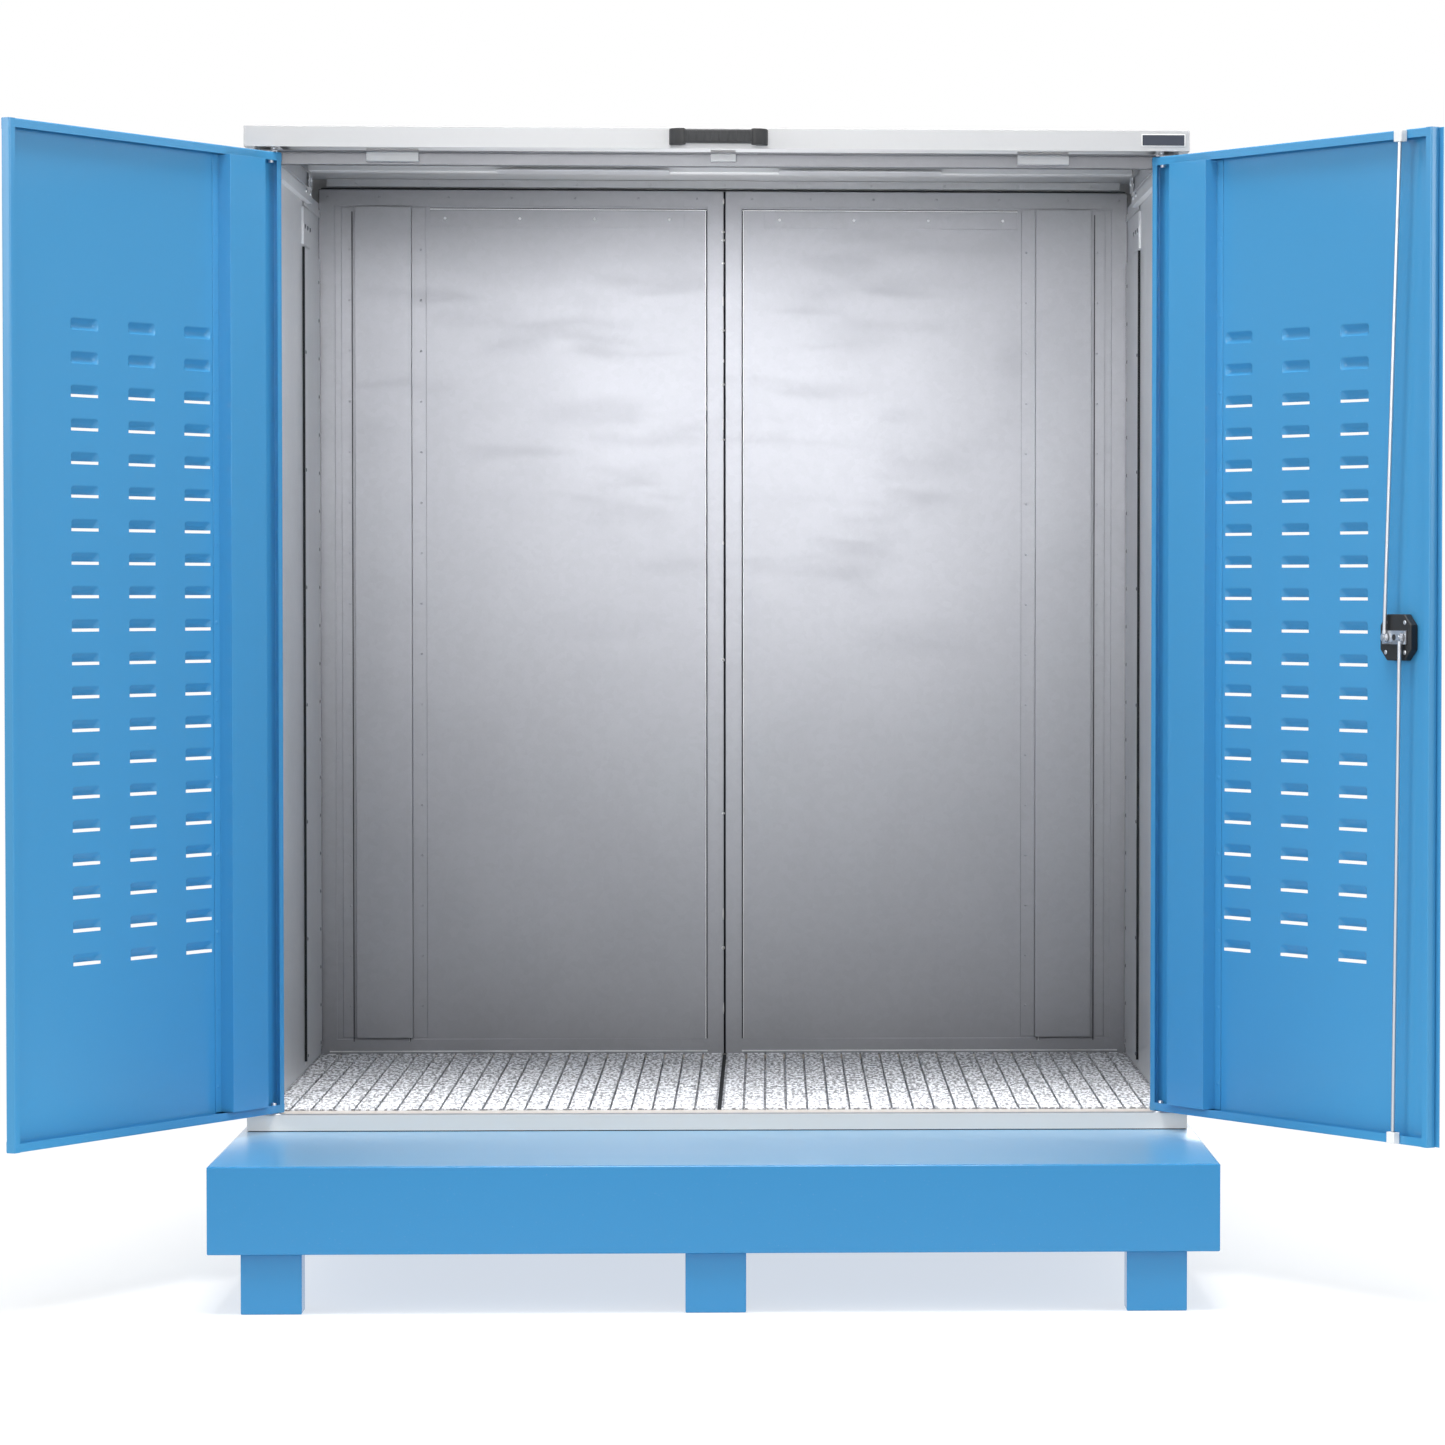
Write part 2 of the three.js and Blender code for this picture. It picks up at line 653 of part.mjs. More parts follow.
function lidParts() {
  const outer = box([-bodyHalf, 0, skirtBottom], [bodyHalf, bodyDepth, lidTop]);
  const hollow = box(
    [-bodyHalf + frameSheet, frameSheet, skirtBottom - overrun],
    [bodyHalf - frameSheet, bodyDepth - frameSheet, lidTop - frameSheet],
  );
  place("lid_pan", outer.subtract(hollow), greyPaint);

  const ceiling = lidTop - frameSheet - seatGap;
  const railRear = hingeY - stay.length - stay.bracketHalf - lid.railGap - lid.railFlange;
  const railFront = railRear - lid.railWidth;
  const hat = fold(
    [
      [railRear + lid.railFlange, ceiling],
      [railRear, ceiling],
      [railRear, ceiling - lid.railDepth],
      [railFront, ceiling - lid.railDepth],
      [railFront, ceiling],
      [railFront - lid.railFlange, ceiling],
    ],
    frameSheet,
  );
  place("lid_cross_rail", alongX(hat, lid.railInset - bodyHalf, bodyHalf - lid.railInset), greyPaint);

  const bowPlan = outline([
    [-bow.half, -seatGap],
    [-bow.half, -bow.foot / 2],
    [-bow.gripHalf, -bow.reach],
    [bow.gripHalf, -bow.reach],
    [bow.half, -bow.foot / 2],
    [bow.half, -seatGap],
    [bow.half - bow.foot, -seatGap],
    [bow.gripHalf - bow.wall, -bow.reach + bow.wall],
    [bow.wall - bow.gripHalf, -bow.reach + bow.wall],
    [bow.foot - bow.half, -seatGap],
  ]);
  place("lid_handle", alongZ(bowPlan, skirtBottom + bow.lift, skirtBottom + bow.lift + bow.height), blackPlastic);
}

// Lid hinges on the back: a leaf with two knuckles and a pin, and a strap with the middle knuckle
const hinge = {
  inset: 250, half: 30, middle: 10, radius: 6, pin: 2.7, drop: 0.2, leaf: 2, leafLow: 52, leafHigh: 9,
  strapLow: 9, strapHigh: 30, offset: 6.6,
};
hinge.z = skirtBottom - hinge.drop;
const hingeY = bodyDepth + hinge.offset;

function lidHinges() {
  const back = bodyDepth - wallInset;
  const knuckle = (from, to) => rod(hinge.radius, [from, hingeY, hinge.z], [to, hingeY, hinge.z]);
  const bore = rod(hinge.pin + seatGap, [-hinge.half, hingeY, hinge.z], [hinge.half, hingeY, hinge.z]);
  const split = hinge.middle + seatGap;
  const legs = [[-hinge.half, -split], [split, hinge.half]];
  const leaf = union([
    box(
      [-hinge.half, back + seatGap, hinge.z - hinge.leafLow],
      [hinge.half, back + seatGap + hinge.leaf, hinge.z - hinge.leafHigh],
    ),
    ...legs.map(([from, to]) =>
      box([from, back + seatGap, hinge.z - hinge.leafHigh - overrun], [to, hingeY, hinge.z - seatGap]),
    ),
    ...legs.map(([from, to]) => knuckle(from, to)),
    rod(hinge.pin, [-hinge.half, hingeY, hinge.z], [hinge.half, hingeY, hinge.z]),
  ]);
  const strap = union([
    box(
      [-hinge.half, bodyDepth + seatGap, hinge.z + hinge.strapLow],
      [hinge.half, bodyDepth + seatGap + hinge.leaf, hinge.z + hinge.strapHigh],
    ),
    box(
      [-hinge.middle, bodyDepth + seatGap, hinge.z + overrun],
      [hinge.middle, bodyDepth + seatGap + hinge.leaf, hinge.z + hinge.strapLow + overrun],
    ),
    knuckle(-hinge.middle, hinge.middle),
  ]).subtract(bore);
  placePair("lid_hinge_leaf", leaf.translate([hinge.inset - bodyHalf, 0, 0]), zincPlate);
  placePair("lid_hinge_strap", strap.translate([hinge.inset - bodyHalf, 0, 0]), zincPlate);
}

// Stays: each arm hangs from the lid, and its foot runs along a slotted rail level with the hinge
const stay = {
  lengthShare: 0.3947, openAngle: 50, arm: 3, armInset: 38.5, armHalf: 12, pin: 4, head: 7, headDepth: 2,
  railInset: 33, railSheet: 2, railDrop: 28, railRise: 16, railFront: 75, railRun: 270, wallInset: 22.6,
  bracketInset: 43.5, bracketHalf: 25, bracketDrop: 14, bracketFlange: 26,
};
stay.length = bodyDepth * stay.lengthShare;
stay.armX = wallHalf - stay.armInset;
stay.railX = wallHalf - stay.railInset;
stay.bracketX = wallHalf - stay.bracketInset;
stay.wallX = wallHalf - stay.wallInset;

function stays() {
  const topY = hingeY - stay.length;
  const footY = hingeY - 2 * stay.length;
  const openFootY = hingeY - 2 * stay.length * Math.cos((stay.openAngle * Math.PI) / (2 * quarterTurn));
  const z = hinge.z;
  const channel = fold(
    [
      [-stay.wallX, z + stay.railRise],
      [-stay.railX - stay.railSheet, z + stay.railRise],
      [-stay.railX - stay.railSheet, z - stay.railDrop],
      [-stay.wallX, z - stay.railDrop],
    ],
    stay.railSheet,
  );
  const clear = stay.pin + seatGap;
  const slot = box(
    [-stay.railX - stay.railSheet - overrun, footY - 2 * clear, z - clear],
    [-stay.railX + overrun, openFootY + 2 * clear, z + clear],
  );
  placePair("stay_rail", alongY(channel, stay.railFront, openFootY + stay.railRun).subtract(slot), galvanised);

  const arm = union([
    box(
      [-stay.armX - stay.arm, footY - stay.armHalf, z - stay.armHalf],
      [-stay.armX, topY + stay.armHalf, z + stay.armHalf],
    ),
    rod(stay.pin, [-stay.armX, footY, z], [-stay.railX - stay.railSheet - stay.headDepth - turnGap, footY, z]),
    rod(
      stay.head,
      [-stay.railX - stay.railSheet - turnGap, footY, z],
      [-stay.railX - stay.railSheet - turnGap - stay.headDepth, footY, z],
    ),
    rod(stay.pin, [-stay.armX, topY, z], [-stay.bracketX + stay.headDepth, topY, z]),
  ]);
  placePair("stay_arm", arm, zincPlate);

  const ceiling = lidTop - frameSheet - seatGap;
  const plate = fold(
    [
      [-stay.bracketX + stay.bracketFlange, ceiling],
      [-stay.bracketX - stay.railSheet, ceiling],
      [-stay.bracketX - stay.railSheet, z - stay.bracketDrop],
    ],
    stay.railSheet,
  );
  const bracketBody = alongY(plate, topY - stay.bracketHalf, topY + stay.bracketHalf);
  const bore = rod(clear, [-stay.armX, topY, z], [-stay.bracketX + overrun, topY, z]);
  placePair("stay_bracket", bracketBody.subtract(bore), galvanised);
}

sumpTray();
feet();
baseFrame();
gratings();
walls();
backWall();
headBeam();
for (const side of ["left", "right"]) {
  doorShell(side);
  doorStiffener(side);
}
pivots();
lockParts();
lidParts();
lidHinges();
stays();

export default model;
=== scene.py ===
"""The hazardous drum store dressed for a picture: sheet-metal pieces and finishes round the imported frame.

The store's sizes are in the cabinet's millimetres: X to the right from its middle, Y from the doors' plane to
the back and Z up from the floor. Places in the studio are in metres.
"""

import json
import logging
import math
import random
from dataclasses import dataclass
from enum import Enum
from typing import Iterable, Sequence, Union

import bmesh
import bpy
from mathutils import Matrix, Vector

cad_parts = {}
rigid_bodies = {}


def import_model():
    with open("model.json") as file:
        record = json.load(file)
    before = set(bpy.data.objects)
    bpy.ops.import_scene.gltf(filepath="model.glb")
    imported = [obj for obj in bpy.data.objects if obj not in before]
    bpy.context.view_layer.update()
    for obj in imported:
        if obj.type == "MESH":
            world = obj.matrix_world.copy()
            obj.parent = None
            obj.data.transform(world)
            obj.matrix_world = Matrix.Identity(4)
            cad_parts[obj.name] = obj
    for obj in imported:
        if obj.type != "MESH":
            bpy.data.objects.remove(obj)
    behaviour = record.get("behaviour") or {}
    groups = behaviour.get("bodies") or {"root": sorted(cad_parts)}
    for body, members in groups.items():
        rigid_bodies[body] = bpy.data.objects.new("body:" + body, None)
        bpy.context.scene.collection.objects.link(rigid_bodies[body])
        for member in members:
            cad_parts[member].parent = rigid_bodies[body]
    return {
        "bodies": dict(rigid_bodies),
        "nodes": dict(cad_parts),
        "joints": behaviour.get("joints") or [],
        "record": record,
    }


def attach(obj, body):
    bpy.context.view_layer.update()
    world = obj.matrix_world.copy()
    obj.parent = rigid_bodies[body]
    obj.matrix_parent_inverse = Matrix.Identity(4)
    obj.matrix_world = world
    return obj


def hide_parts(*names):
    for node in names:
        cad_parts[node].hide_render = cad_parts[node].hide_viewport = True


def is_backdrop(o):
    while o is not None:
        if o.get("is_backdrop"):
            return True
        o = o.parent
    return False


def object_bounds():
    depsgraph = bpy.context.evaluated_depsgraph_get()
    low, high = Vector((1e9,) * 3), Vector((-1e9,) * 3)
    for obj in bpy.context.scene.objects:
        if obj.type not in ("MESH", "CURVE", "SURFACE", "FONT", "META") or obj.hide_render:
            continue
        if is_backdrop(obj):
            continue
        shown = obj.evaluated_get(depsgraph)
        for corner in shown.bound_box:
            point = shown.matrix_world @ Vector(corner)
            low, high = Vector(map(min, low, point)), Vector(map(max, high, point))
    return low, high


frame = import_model()
log = logging.getLogger("drum_store")

MM = 0.001
TRAY_MIDDLE = 313.5
Point = tuple[float, float, float]
Spot = tuple[float, float]
Level = tuple[float, float, float, float, float]
Colour = tuple[float, float, float, float]
Number = Union[float, "Wire"]
Mesh = bmesh.types.BMesh
MINUS_Y = (0, -1, 0)


class Side(Enum):
    """A side of the store, with the sign of its X."""

    LEFT = -1
    RIGHT = 1

    @property
    def word(self) -> str:
        """The side's name, as the frame's nodes write it."""
        return self.name.lower()

    @property
    def inward(self) -> Point:
        """The way from this side to the store's middle."""
        return (-self.value, 0, 0)

    def span(self, near: float, far: float) -> Spot:
        """Two distances from the store's middle as places along X, the lower one first."""
        low, high = sorted((self.value * near, self.value * far))
        return low, high


class Axis(Enum):
    """An axis to draw an outline along, with the order that turns (a, b, along) into a point."""

    X = (2, 0, 1)
    Z = (0, 1, 2)


# Shader graphs


def colour(red: int, green: int, blue: int) -> Colour:
    """Turns a screen colour into the linear one that a shader takes.

    Args:
        red: red from 0 to 255.
        green: green from 0 to 255.
        blue: blue from 0 to 255.

    Returns:
        The linear colour with full alpha.
    """

    def linear(level: int) -> float:
        """One channel, from screen to linear."""
        share = level / 255
        return share / 12.92 if share <= 0.04045 else ((share + 0.055) / 1.055) ** 2.4

    return (linear(red), linear(green), linear(blue), 1.0)


def shaded(tint: Colour, factor: float, lift: float = 0) -> Colour:
    """A paler or darker colour: each channel times a factor, plus a lift."""
    return tuple(min(1.0, level * factor + lift) for level in tint[:3]) + (1.0,)


@dataclass(frozen=True)
class Wire:
    """A value socket in a material's graph that can be reckoned with as a number."""

    graph: "Graph"
    socket: bpy.types.NodeSocket

    def _maths(self, operation: str, first: Number, second: Number) -> "Wire":
        """Adds a Math node and returns its result."""
        return self.graph.node("ShaderNodeMath", {"operation": operation}, {0: first, 1: second})

    def __add__(self, other: Number) -> "Wire":
        """self + other."""
        return self._maths("ADD", self, other)

    def __mul__(self, other: Number) -> "Wire":
        """self * other."""
        return self._maths("MULTIPLY", self, other)

    def __sub__(self, other: Number) -> "Wire":
        """self - other."""
        return self._maths("SUBTRACT", self, other)

    def __rsub__(self, other: Number) -> "Wire":
        """other - self."""
        return self._maths("SUBTRACT", other, self)

    def above(self, level: float, soft: float) -> "Wire":
        """A mask that rises from 0 to 1 as this value passes a level.

        Args:
            level: the value where the mask starts to rise.
            soft: how much further it takes to reach 1.

        Returns:
            The mask, kept between 0 and 1.
        """
        ramp = (self - level) * (1 / soft)
        capped = self._maths("MINIMUM", ramp, 1.0)
        return self._maths("MAXIMUM", capped, 0.0)


class Graph:
    """A material's node graph, built from expressions."""

    def __init__(self, name: str) -> None:
        """Starts a material with one Principled shader.

        Args:
            name: the material's name.
        """
        self.material = bpy.data.materials.new(name)
        self.material.use_nodes = True
        self.tree = self.material.node_tree
        self.shader = next(n for n in self.tree.nodes if n.type == "BSDF_PRINCIPLED")

    def node(
        self, kind: str, settings: dict[str, str], sockets: dict[int | str, object], out: int | str = 0
    ) -> Wire:
        """Adds one node.

        Args:
            kind: the node's type.
            settings: its properties, which are set first.
            sockets: input name or number to a value or a Wire.
            out: which output to give back.

        Returns:
            The chosen output.
        """
        made = self.tree.nodes.new(kind)
        for key, value in settings.items():
            setattr(made, key, value)
        for key, value in sockets.items():
            self.feed(made.inputs[key], value)
        return Wire(self, made.outputs[out])

    def feed(self, socket: bpy.types.NodeSocket, value: object) -> None:
        """Links a Wire to a socket, or sets a plain value on it.

        Args:
            socket: the input socket.
            value: the Wire or the value.
        """
        if isinstance(value, Wire):
            self.tree.links.new(value.socket, socket)
        else:
            socket.default_value = value

    def place(self, stretch: Point = (1, 1, 1)) -> Wire:
        """The point on the object in metres, stretched along each axis."""
        where = self.node("ShaderNodeTexCoord", {}, {}, "Object")
        return self.node("ShaderNodeVectorMath", {"operation": "MULTIPLY"}, {0: where, 1: stretch})

    def noise(self, scale: float, detail: float = 3, stretch: Point = (1, 1, 1)) -> Wire:
        """Soft noise between 0 and 1, with a scale per metre."""
        sockets = {"Vector": self.place(stretch), "Scale": scale, "Detail": detail, "Roughness": 0.55}
        return self.node("ShaderNodeTexNoise", {}, sockets)

    def cells(self, scale: float) -> Wire:
        """A random level for each cell of a Voronoi pattern, as spangle has."""
        tint = self.node("ShaderNodeTexVoronoi", {}, {"Vector": self.place(), "Scale": scale}, "Color")
        return self.node("ShaderNodeSeparateColor", {}, {"Color": tint})

    def mix(self, mask: Number, first: object, second: object) -> Wire:
        """Mixes two colours by a mask, which is 1 where the second shows."""
        return self.node("ShaderNodeMix", {"data_type": "RGBA"}, {0: mask, 6: first, 7: second}, 2)

    def bump(self, height: Wire, depth: float, after: Wire | None = None) -> Wire:
        """A bump from a height, with its depth in metres, on top of an earlier one."""
        sockets = {"Height": height, "Distance": depth, "Strength": 1.0}
        return self.node("ShaderNodeBump", {}, sockets if after is None else sockets | {"Normal": after})

    def fade(self, mask: Wire) -> None:
        """Lets the surface show only where the mask is 1.

        Args:
            mask: the mask.
        """
        clear = self.tree.nodes.new("ShaderNodeBsdfTransparent")
        mix = self.tree.nodes.new("ShaderNodeMixShader")
        out = next(n for n in self.tree.nodes if n.type == "OUTPUT_MATERIAL")
        self.feed(mix.inputs[0], mask)
        self.tree.links.new(clear.outputs[0], mix.inputs[1])
        self.tree.links.new(self.shader.outputs[0], mix.inputs[2])
        self.tree.links.new(mix.outputs[0], out.inputs["Surface"])

    def finish(self, **sockets: object) -> bpy.types.Material:
        """Feeds the shader.

        Args:
            sockets: its inputs' names, with words joined by underscores, and what each takes.

        Returns:
            The material.
        """
        for key, value in sockets.items():
            self.feed(self.shader.inputs[key.replace("_", " ")], value)
        return self.material


# Finishes


@dataclass(frozen=True)
class PowderCoat:
    """Baked powder paint: a faint orange peel, slow drift in its colour and fine dust specks."""

    name: str
    tint: Colour
    shade: float
    roughness: float
    gloss: float = 0.0
    haze: float = 0.06
    dust: Colour = (0.82, 0.84, 0.86, 1.0)

    def material(self) -> bpy.types.Material:
        """Builds the paint.

        Returns:
            The material.
        """
        graph = Graph(self.name)
        drift = graph.noise(2.2, 2)
        specks = graph.noise(420, 2).above(0.72, 0.05)
        base = graph.mix(drift, self.tint, shaded(self.tint, self.shade))
        dusty = graph.mix(specks * 0.1, base, self.dust)
        rough = drift * 0.10 + (self.roughness - 0.05)
        peel = graph.bump(graph.noise(260, 2), 0.00006)
        return graph.finish(
            Base_Color=dusty, Roughness=rough, Normal=peel, Specular_IOR_Level=0.45, Coat_Weight=self.gloss,
            Coat_Roughness=self.haze,
        )


@dataclass(frozen=True)
class Galvanised:
    """Hot-dip galvanised sheet: dull zinc with faint spangle, rolling lines and wiped smears."""

    name: str
    tint: Colour
    roughness: float
    metallic: float
    smear: float = 0.1

    def material(self) -> bpy.types.Material:
        """Builds the sheet's surface.

        Returns:
            The material.
        """
        graph = Graph(self.name)
        spangle = graph.cells(95)
        lines = graph.noise(30, 4, (1, 1, 0.05))
        cloud = graph.noise(5.5, 4, (1, 1, 0.7))
        wiped = graph.noise(11, 5, (0.5, 0.5, 2.4)).above(0.52, 0.25)
        dark, pale = shaded(self.tint, 0.8), shaded(self.tint, 1.16)
        base = graph.mix(spangle * 0.10 + cloud * 0.5 + graph.noise(330, 2) * 0.18, dark, pale)
        worn = graph.mix(wiped * self.smear, base, pale)
        rough = wiped * 0.04 + cloud * 0.08 + (self.roughness - 0.06)
        waved = graph.bump(graph.noise(2.6, 1), 0.0012, graph.bump(lines, 0.00012))
        return graph.finish(Base_Color=worn, Roughness=rough, Metallic=self.metallic, Normal=waved)


@dataclass(frozen=True)
class GratingZinc:
    """Thick dipped zinc on grating bars: bright, with grainy lumps and grey streaks."""

    name: str
    tint: Colour
    roughness: float = 0.45
    bloom: Colour = (0.9, 0.91, 0.93, 1.0)

    def material(self) -> bpy.types.Material:
        """Builds the dipped zinc.

        Returns:
            The material.
        """
        graph = Graph(self.name)
        grain = graph.noise(175, 3, (1, 0.3, 1))
        streak = graph.noise(38, 3, (1, 0.4, 1)).above(0.5, 0.2)
        base = graph.mix(grain.above(0.43, 0.14), shaded(self.tint, 0.28), self.tint)
        washed = graph.mix(streak * 0.12, base, self.bloom)
        rough = grain * 0.25 + (self.roughness - 0.1)
        lumps = graph.bump(grain, 0.0006)
        return graph.finish(Base_Color=washed, Roughness=rough, Metallic=0.55, Normal=lumps)


@dataclass(frozen=True)
class BrightPlate:
    """Bright zinc plating on turned and stamped fittings, with fine draw marks."""

    name: str
    tint: Colour
    roughness: float = 0.3
    grime: Colour = (0.42, 0.42, 0.41, 1.0)

    def material(self) -> bpy.types.Material:
        """Builds the plating.

        Returns:
            The material.
        """
        graph = Graph(self.name)
        draw = graph.noise(160, 3, (1, 1, 0.08))
        stain = graph.noise(45, 3).above(0.55, 0.2)
        base = graph.mix(stain * 0.3, self.tint, self.grime)
        rough = draw * 0.12 + stain * 0.1 + (self.roughness - 0.06)
        return graph.finish(Base_Color=base, Roughness=rough, Metallic=0.9, Normal=graph.bump(draw, 0.00005))


@dataclass(frozen=True)
class Moulding:
    """Moulded plastic with a fine spark-eroded grain and a little handling shine."""

    name: str
    tint: Colour
    roughness: float = 0.5
    grain: float = 0.00008

    def material(self) -> bpy.types.Material:
        """Builds the plastic.

        Returns:
            The material.
        """
        graph = Graph(self.name)
        grain = graph.noise(900, 3)
        handled = graph.noise(28, 2).above(0.5, 0.3)
        base = graph.mix(grain * 0.5 + handled * 0.2, self.tint, shaded(self.tint, 1.25, 0.01))
        rough = grain * 0.1 + (self.roughness - handled * 0.08)
        return graph.finish(Base_Color=base, Roughness=rough, Normal=graph.bump(grain, self.grain))


@dataclass(frozen=True)
class Sealant:
    """Squeezed joint sealant: pale, lumpy and a little dirty."""

    name: str
    tint: Colour
    dirt: Colour = (0.3, 0.3, 0.31, 1.0)

    def material(self) -> bpy.types.Material:
        """Builds the sealant.

        Returns:
            The material.
        """
        graph = Graph(self.name)
        lumps = graph.noise(130, 4)
        base = graph.mix(lumps.above(0.5, 0.3) * 0.6, self.tint, self.dirt)
        return graph.finish(Base_Color=base, Roughness=lumps * 0.2 + 0.45, Normal=graph.bump(lumps, 0.0008))


class Finish(Enum):
    """The finishes of this store, each with the record's slot that it belongs to."""

    BLUE = ("blue_paint", PowderCoat("blue powder coat", colour(70, 152, 203), 0.96, 0.22))
    # A paler, warmer copy of the light grey paint for the sill and rails: painted light on their shaded
    # faces.
    SILL = ("grey_paint", PowderCoat("light grey base coat", colour(240, 230, 220), 0.97, 0.36))
    TRAY = ("blue_paint", PowderCoat("glossy blue tray coat", colour(30, 133, 190), 0.96, 0.25, 0.5, 0.16))
    # A paler copy of the tray's blue for the deck: painted reflection of the bright store on the glossy deck.
    DECK = ("blue_paint", PowderCoat("glossy blue deck coat", colour(104, 176, 220), 0.96, 0.3, 1.0, 0.3))
    GREY = ("grey_paint", PowderCoat("light grey powder coat", colour(191, 191, 192), 0.97, 0.42))
    SHEET = ("galvanised", Galvanised("galvanised sheet", colour(133, 134, 139), 0.38, 0.9))
    RAIL = ("galvanised", Galvanised("dull galvanised rail", colour(116, 117, 121), 0.42, 0.55))
    BEAM = ("galvanised", Galvanised("galvanised beam", colour(178, 179, 182), 0.40, 0.4))
    # A near-white, barely metallic copy of the galvanised sheet: painted light on the shaded liners, stay
    # rails, rivets, pads and fold lines.
    LINER = ("galvanised", Galvanised("bright galvanised liner", colour(244, 244, 246), 0.34, 0.12))
    GRATING = ("grating_zinc", GratingZinc("dipped grating zinc", colour(238, 239, 243)))
    BLACK = ("black_plastic", Moulding("black moulding", colour(18, 19, 21)))
    CHARCOAL = ("black_plastic", Moulding("charcoal grip", colour(31, 32, 34), 0.6))
    PLATED = ("zinc_plate", BrightPlate("bright zinc plate", colour(206, 208, 212)))
    NYLON = ("white_nylon", Moulding("white nylon", colour(236, 236, 234), 0.5, 0.00003))
    SEAL = ("white_nylon", Sealant("joint sealant", colour(205, 205, 203)))
    # Dark strips put in gaps and joints where there is only shade: painted shade.
    DARK_GAP = ("black_plastic", Moulding("dark rubber seal", colour(30, 32, 36), 0.75))
    SLATE = ("black_plastic", Moulding("slate name plate", colour(27, 35, 52), 0.4))

    @property
    def slot(self) -> str:
        """The record's material slot."""
        return self.value[0]


# Mesh work in cabinet millimetres

ROUND = {"offset_type": "OFFSET", "profile": 0.5, "affect": "EDGES", "clamp_overlap": True}


def skinned(solid: Mesh, loops: Sequence[Sequence[bmesh.types.BMVert]]) -> Mesh:
    """Joins loops of vertices by faces and closes both ends.

    Args:
        solid: the mesh that holds the vertices.
        loops: the loops in order, all of one length, but a single vertex may stand for a loop.

    Returns:
        The same mesh.
    """
    sides = max(len(loop) for loop in loops)
    for lower, upper in zip(loops, loops[1:]):
        for i in range(sides):
            corners = ((lower, i), (lower, i + 1), (upper, i + 1), (upper, i))
            ring = list(dict.fromkeys(loop[k % sides % len(loop)] for loop, k in corners))
            if len(ring) > 2:
                solid.faces.new(ring)
    for loop in (loops[0], loops[-1]):
        if len(loop) > 2:
            solid.faces.new(loop)
    return solid


def rounded(solid: Mesh, edges: Sequence[bmesh.types.BMEdge], radius: float, segments: int = 2) -> Mesh:
    """Rounds edges of a mesh, with a radius and a number of steps, and gives the mesh back."""
    bmesh.ops.bevel(solid, geom=edges, offset=radius, segments=segments, **ROUND)
    return solid


def prism(outline: Sequence[Spot], axis: Axis, low: float, high: float) -> Mesh:
    """Draws an outline out along an axis.

    Args:
        outline: points in (y, z) for X or (x, y) for Z.
        axis: the axis.
        low: where the prism starts along it.
        high: where it ends.

    Returns:
        The closed prism.
    """
    solid = bmesh.new()
    near, far = (
        [solid.verts.new([(a, b, along)[i] for i in axis.value]) for a, b in outline] for along in (low, high)
    )
    for i in range(len(outline)):
        j = (i + 1) % len(outline)
        solid.faces.new((near[i], near[j], far[j], far[i]))
    solid.faces.new(near[::-1])
    solid.faces.new(far)
    return solid


def block(low: Point, high: Point, radius: float = 0, segments: int = 2) -> Mesh:
    """A box with rounded edges.

    Args:
        low: its lowest corner.
        high: its highest corner.
        radius: how far the rounding reaches, or 0 for sharp edges.
        segments: the rounding's steps.

    Returns:
        The closed box.
    """
    solid = bmesh.new()
    bmesh.ops.create_cube(solid, size=1)
    for vertex in solid.verts:
        vertex.co = Vector([(a + b) / 2 + c * (b - a) for a, b, c in zip(low, high, vertex.co)])
    return rounded(solid, solid.edges[:], radius, segments) if radius else solid


def side_block(side: Side, span: Spot, ys: Spot, zs: Spot, radius: float = 0) -> Mesh:
    """A box on one side of the store, with its span given as distances from the middle."""
    low, high = side.span(*span)
    return block((low, ys[0], zs[0]), (high, ys[1], zs[1]), radius)


def quarter(radius: float, steps: int) -> list[Spot]:
    """How far the points of a fold stand in from its two faces, along its quarter turn."""
    angles = [math.pi / 2 * step / steps for step in range(steps + 1)]
    return [(radius * (1 - math.cos(angle)), radius * (1 - math.sin(angle))) for angle in angles]


def filleted(points: Sequence[Spot], radius: float) -> list[Spot]:
    """Rounds the square corners of a line.

    Args:
        points: the line.
        radius: the corners' radius.

    Returns:
        The rounded line.
    """
    line = [Vector(points[0])]
    for before, corner, after in zip(points, points[1:], points[2:]):
        back, on = ((Vector(point) - Vector(corner)).normalized() for point in (before, after))
        line += [Vector(corner) + back * near + on * far for far, near in quarter(radius, 4)]
    return [tuple(point) for point in (*line, Vector(points[-1]))]


def rings(levels: Iterable[Level], corner: float, steps: int = 3) -> Mesh:
    """Stacks rounded rectangles (x0, y0, x1, y1, z) into one closed form, capped at both ends.

    Args:
        levels: the rectangles in order along the surface.
        corner: the radius of their corners.
        steps: the segments of each corner.

    Returns:
        The closed form.
    """
    solid = bmesh.new()
    loops = []
    for x0, y0, x1, y1, z in levels:
        loop = []
        for x, y, start in ((x1, y1, 0), (x0, y1, 90), (x0, y0, 180), (x1, y0, 270)):
            inner_x = x - math.copysign(corner, x - (x0 + x1) / 2)
            inner_y = y - math.copysign(corner, y - (y0 + y1) / 2)
            for step in range(steps + 1):
                angle = math.radians(start + 90 * step / steps)
                spot = (inner_x + corner * math.cos(angle), inner_y + corner * math.sin(angle), z)
                loop.append(solid.verts.new(spot))
        loops.append(loop)
    return skinned(solid, loops)


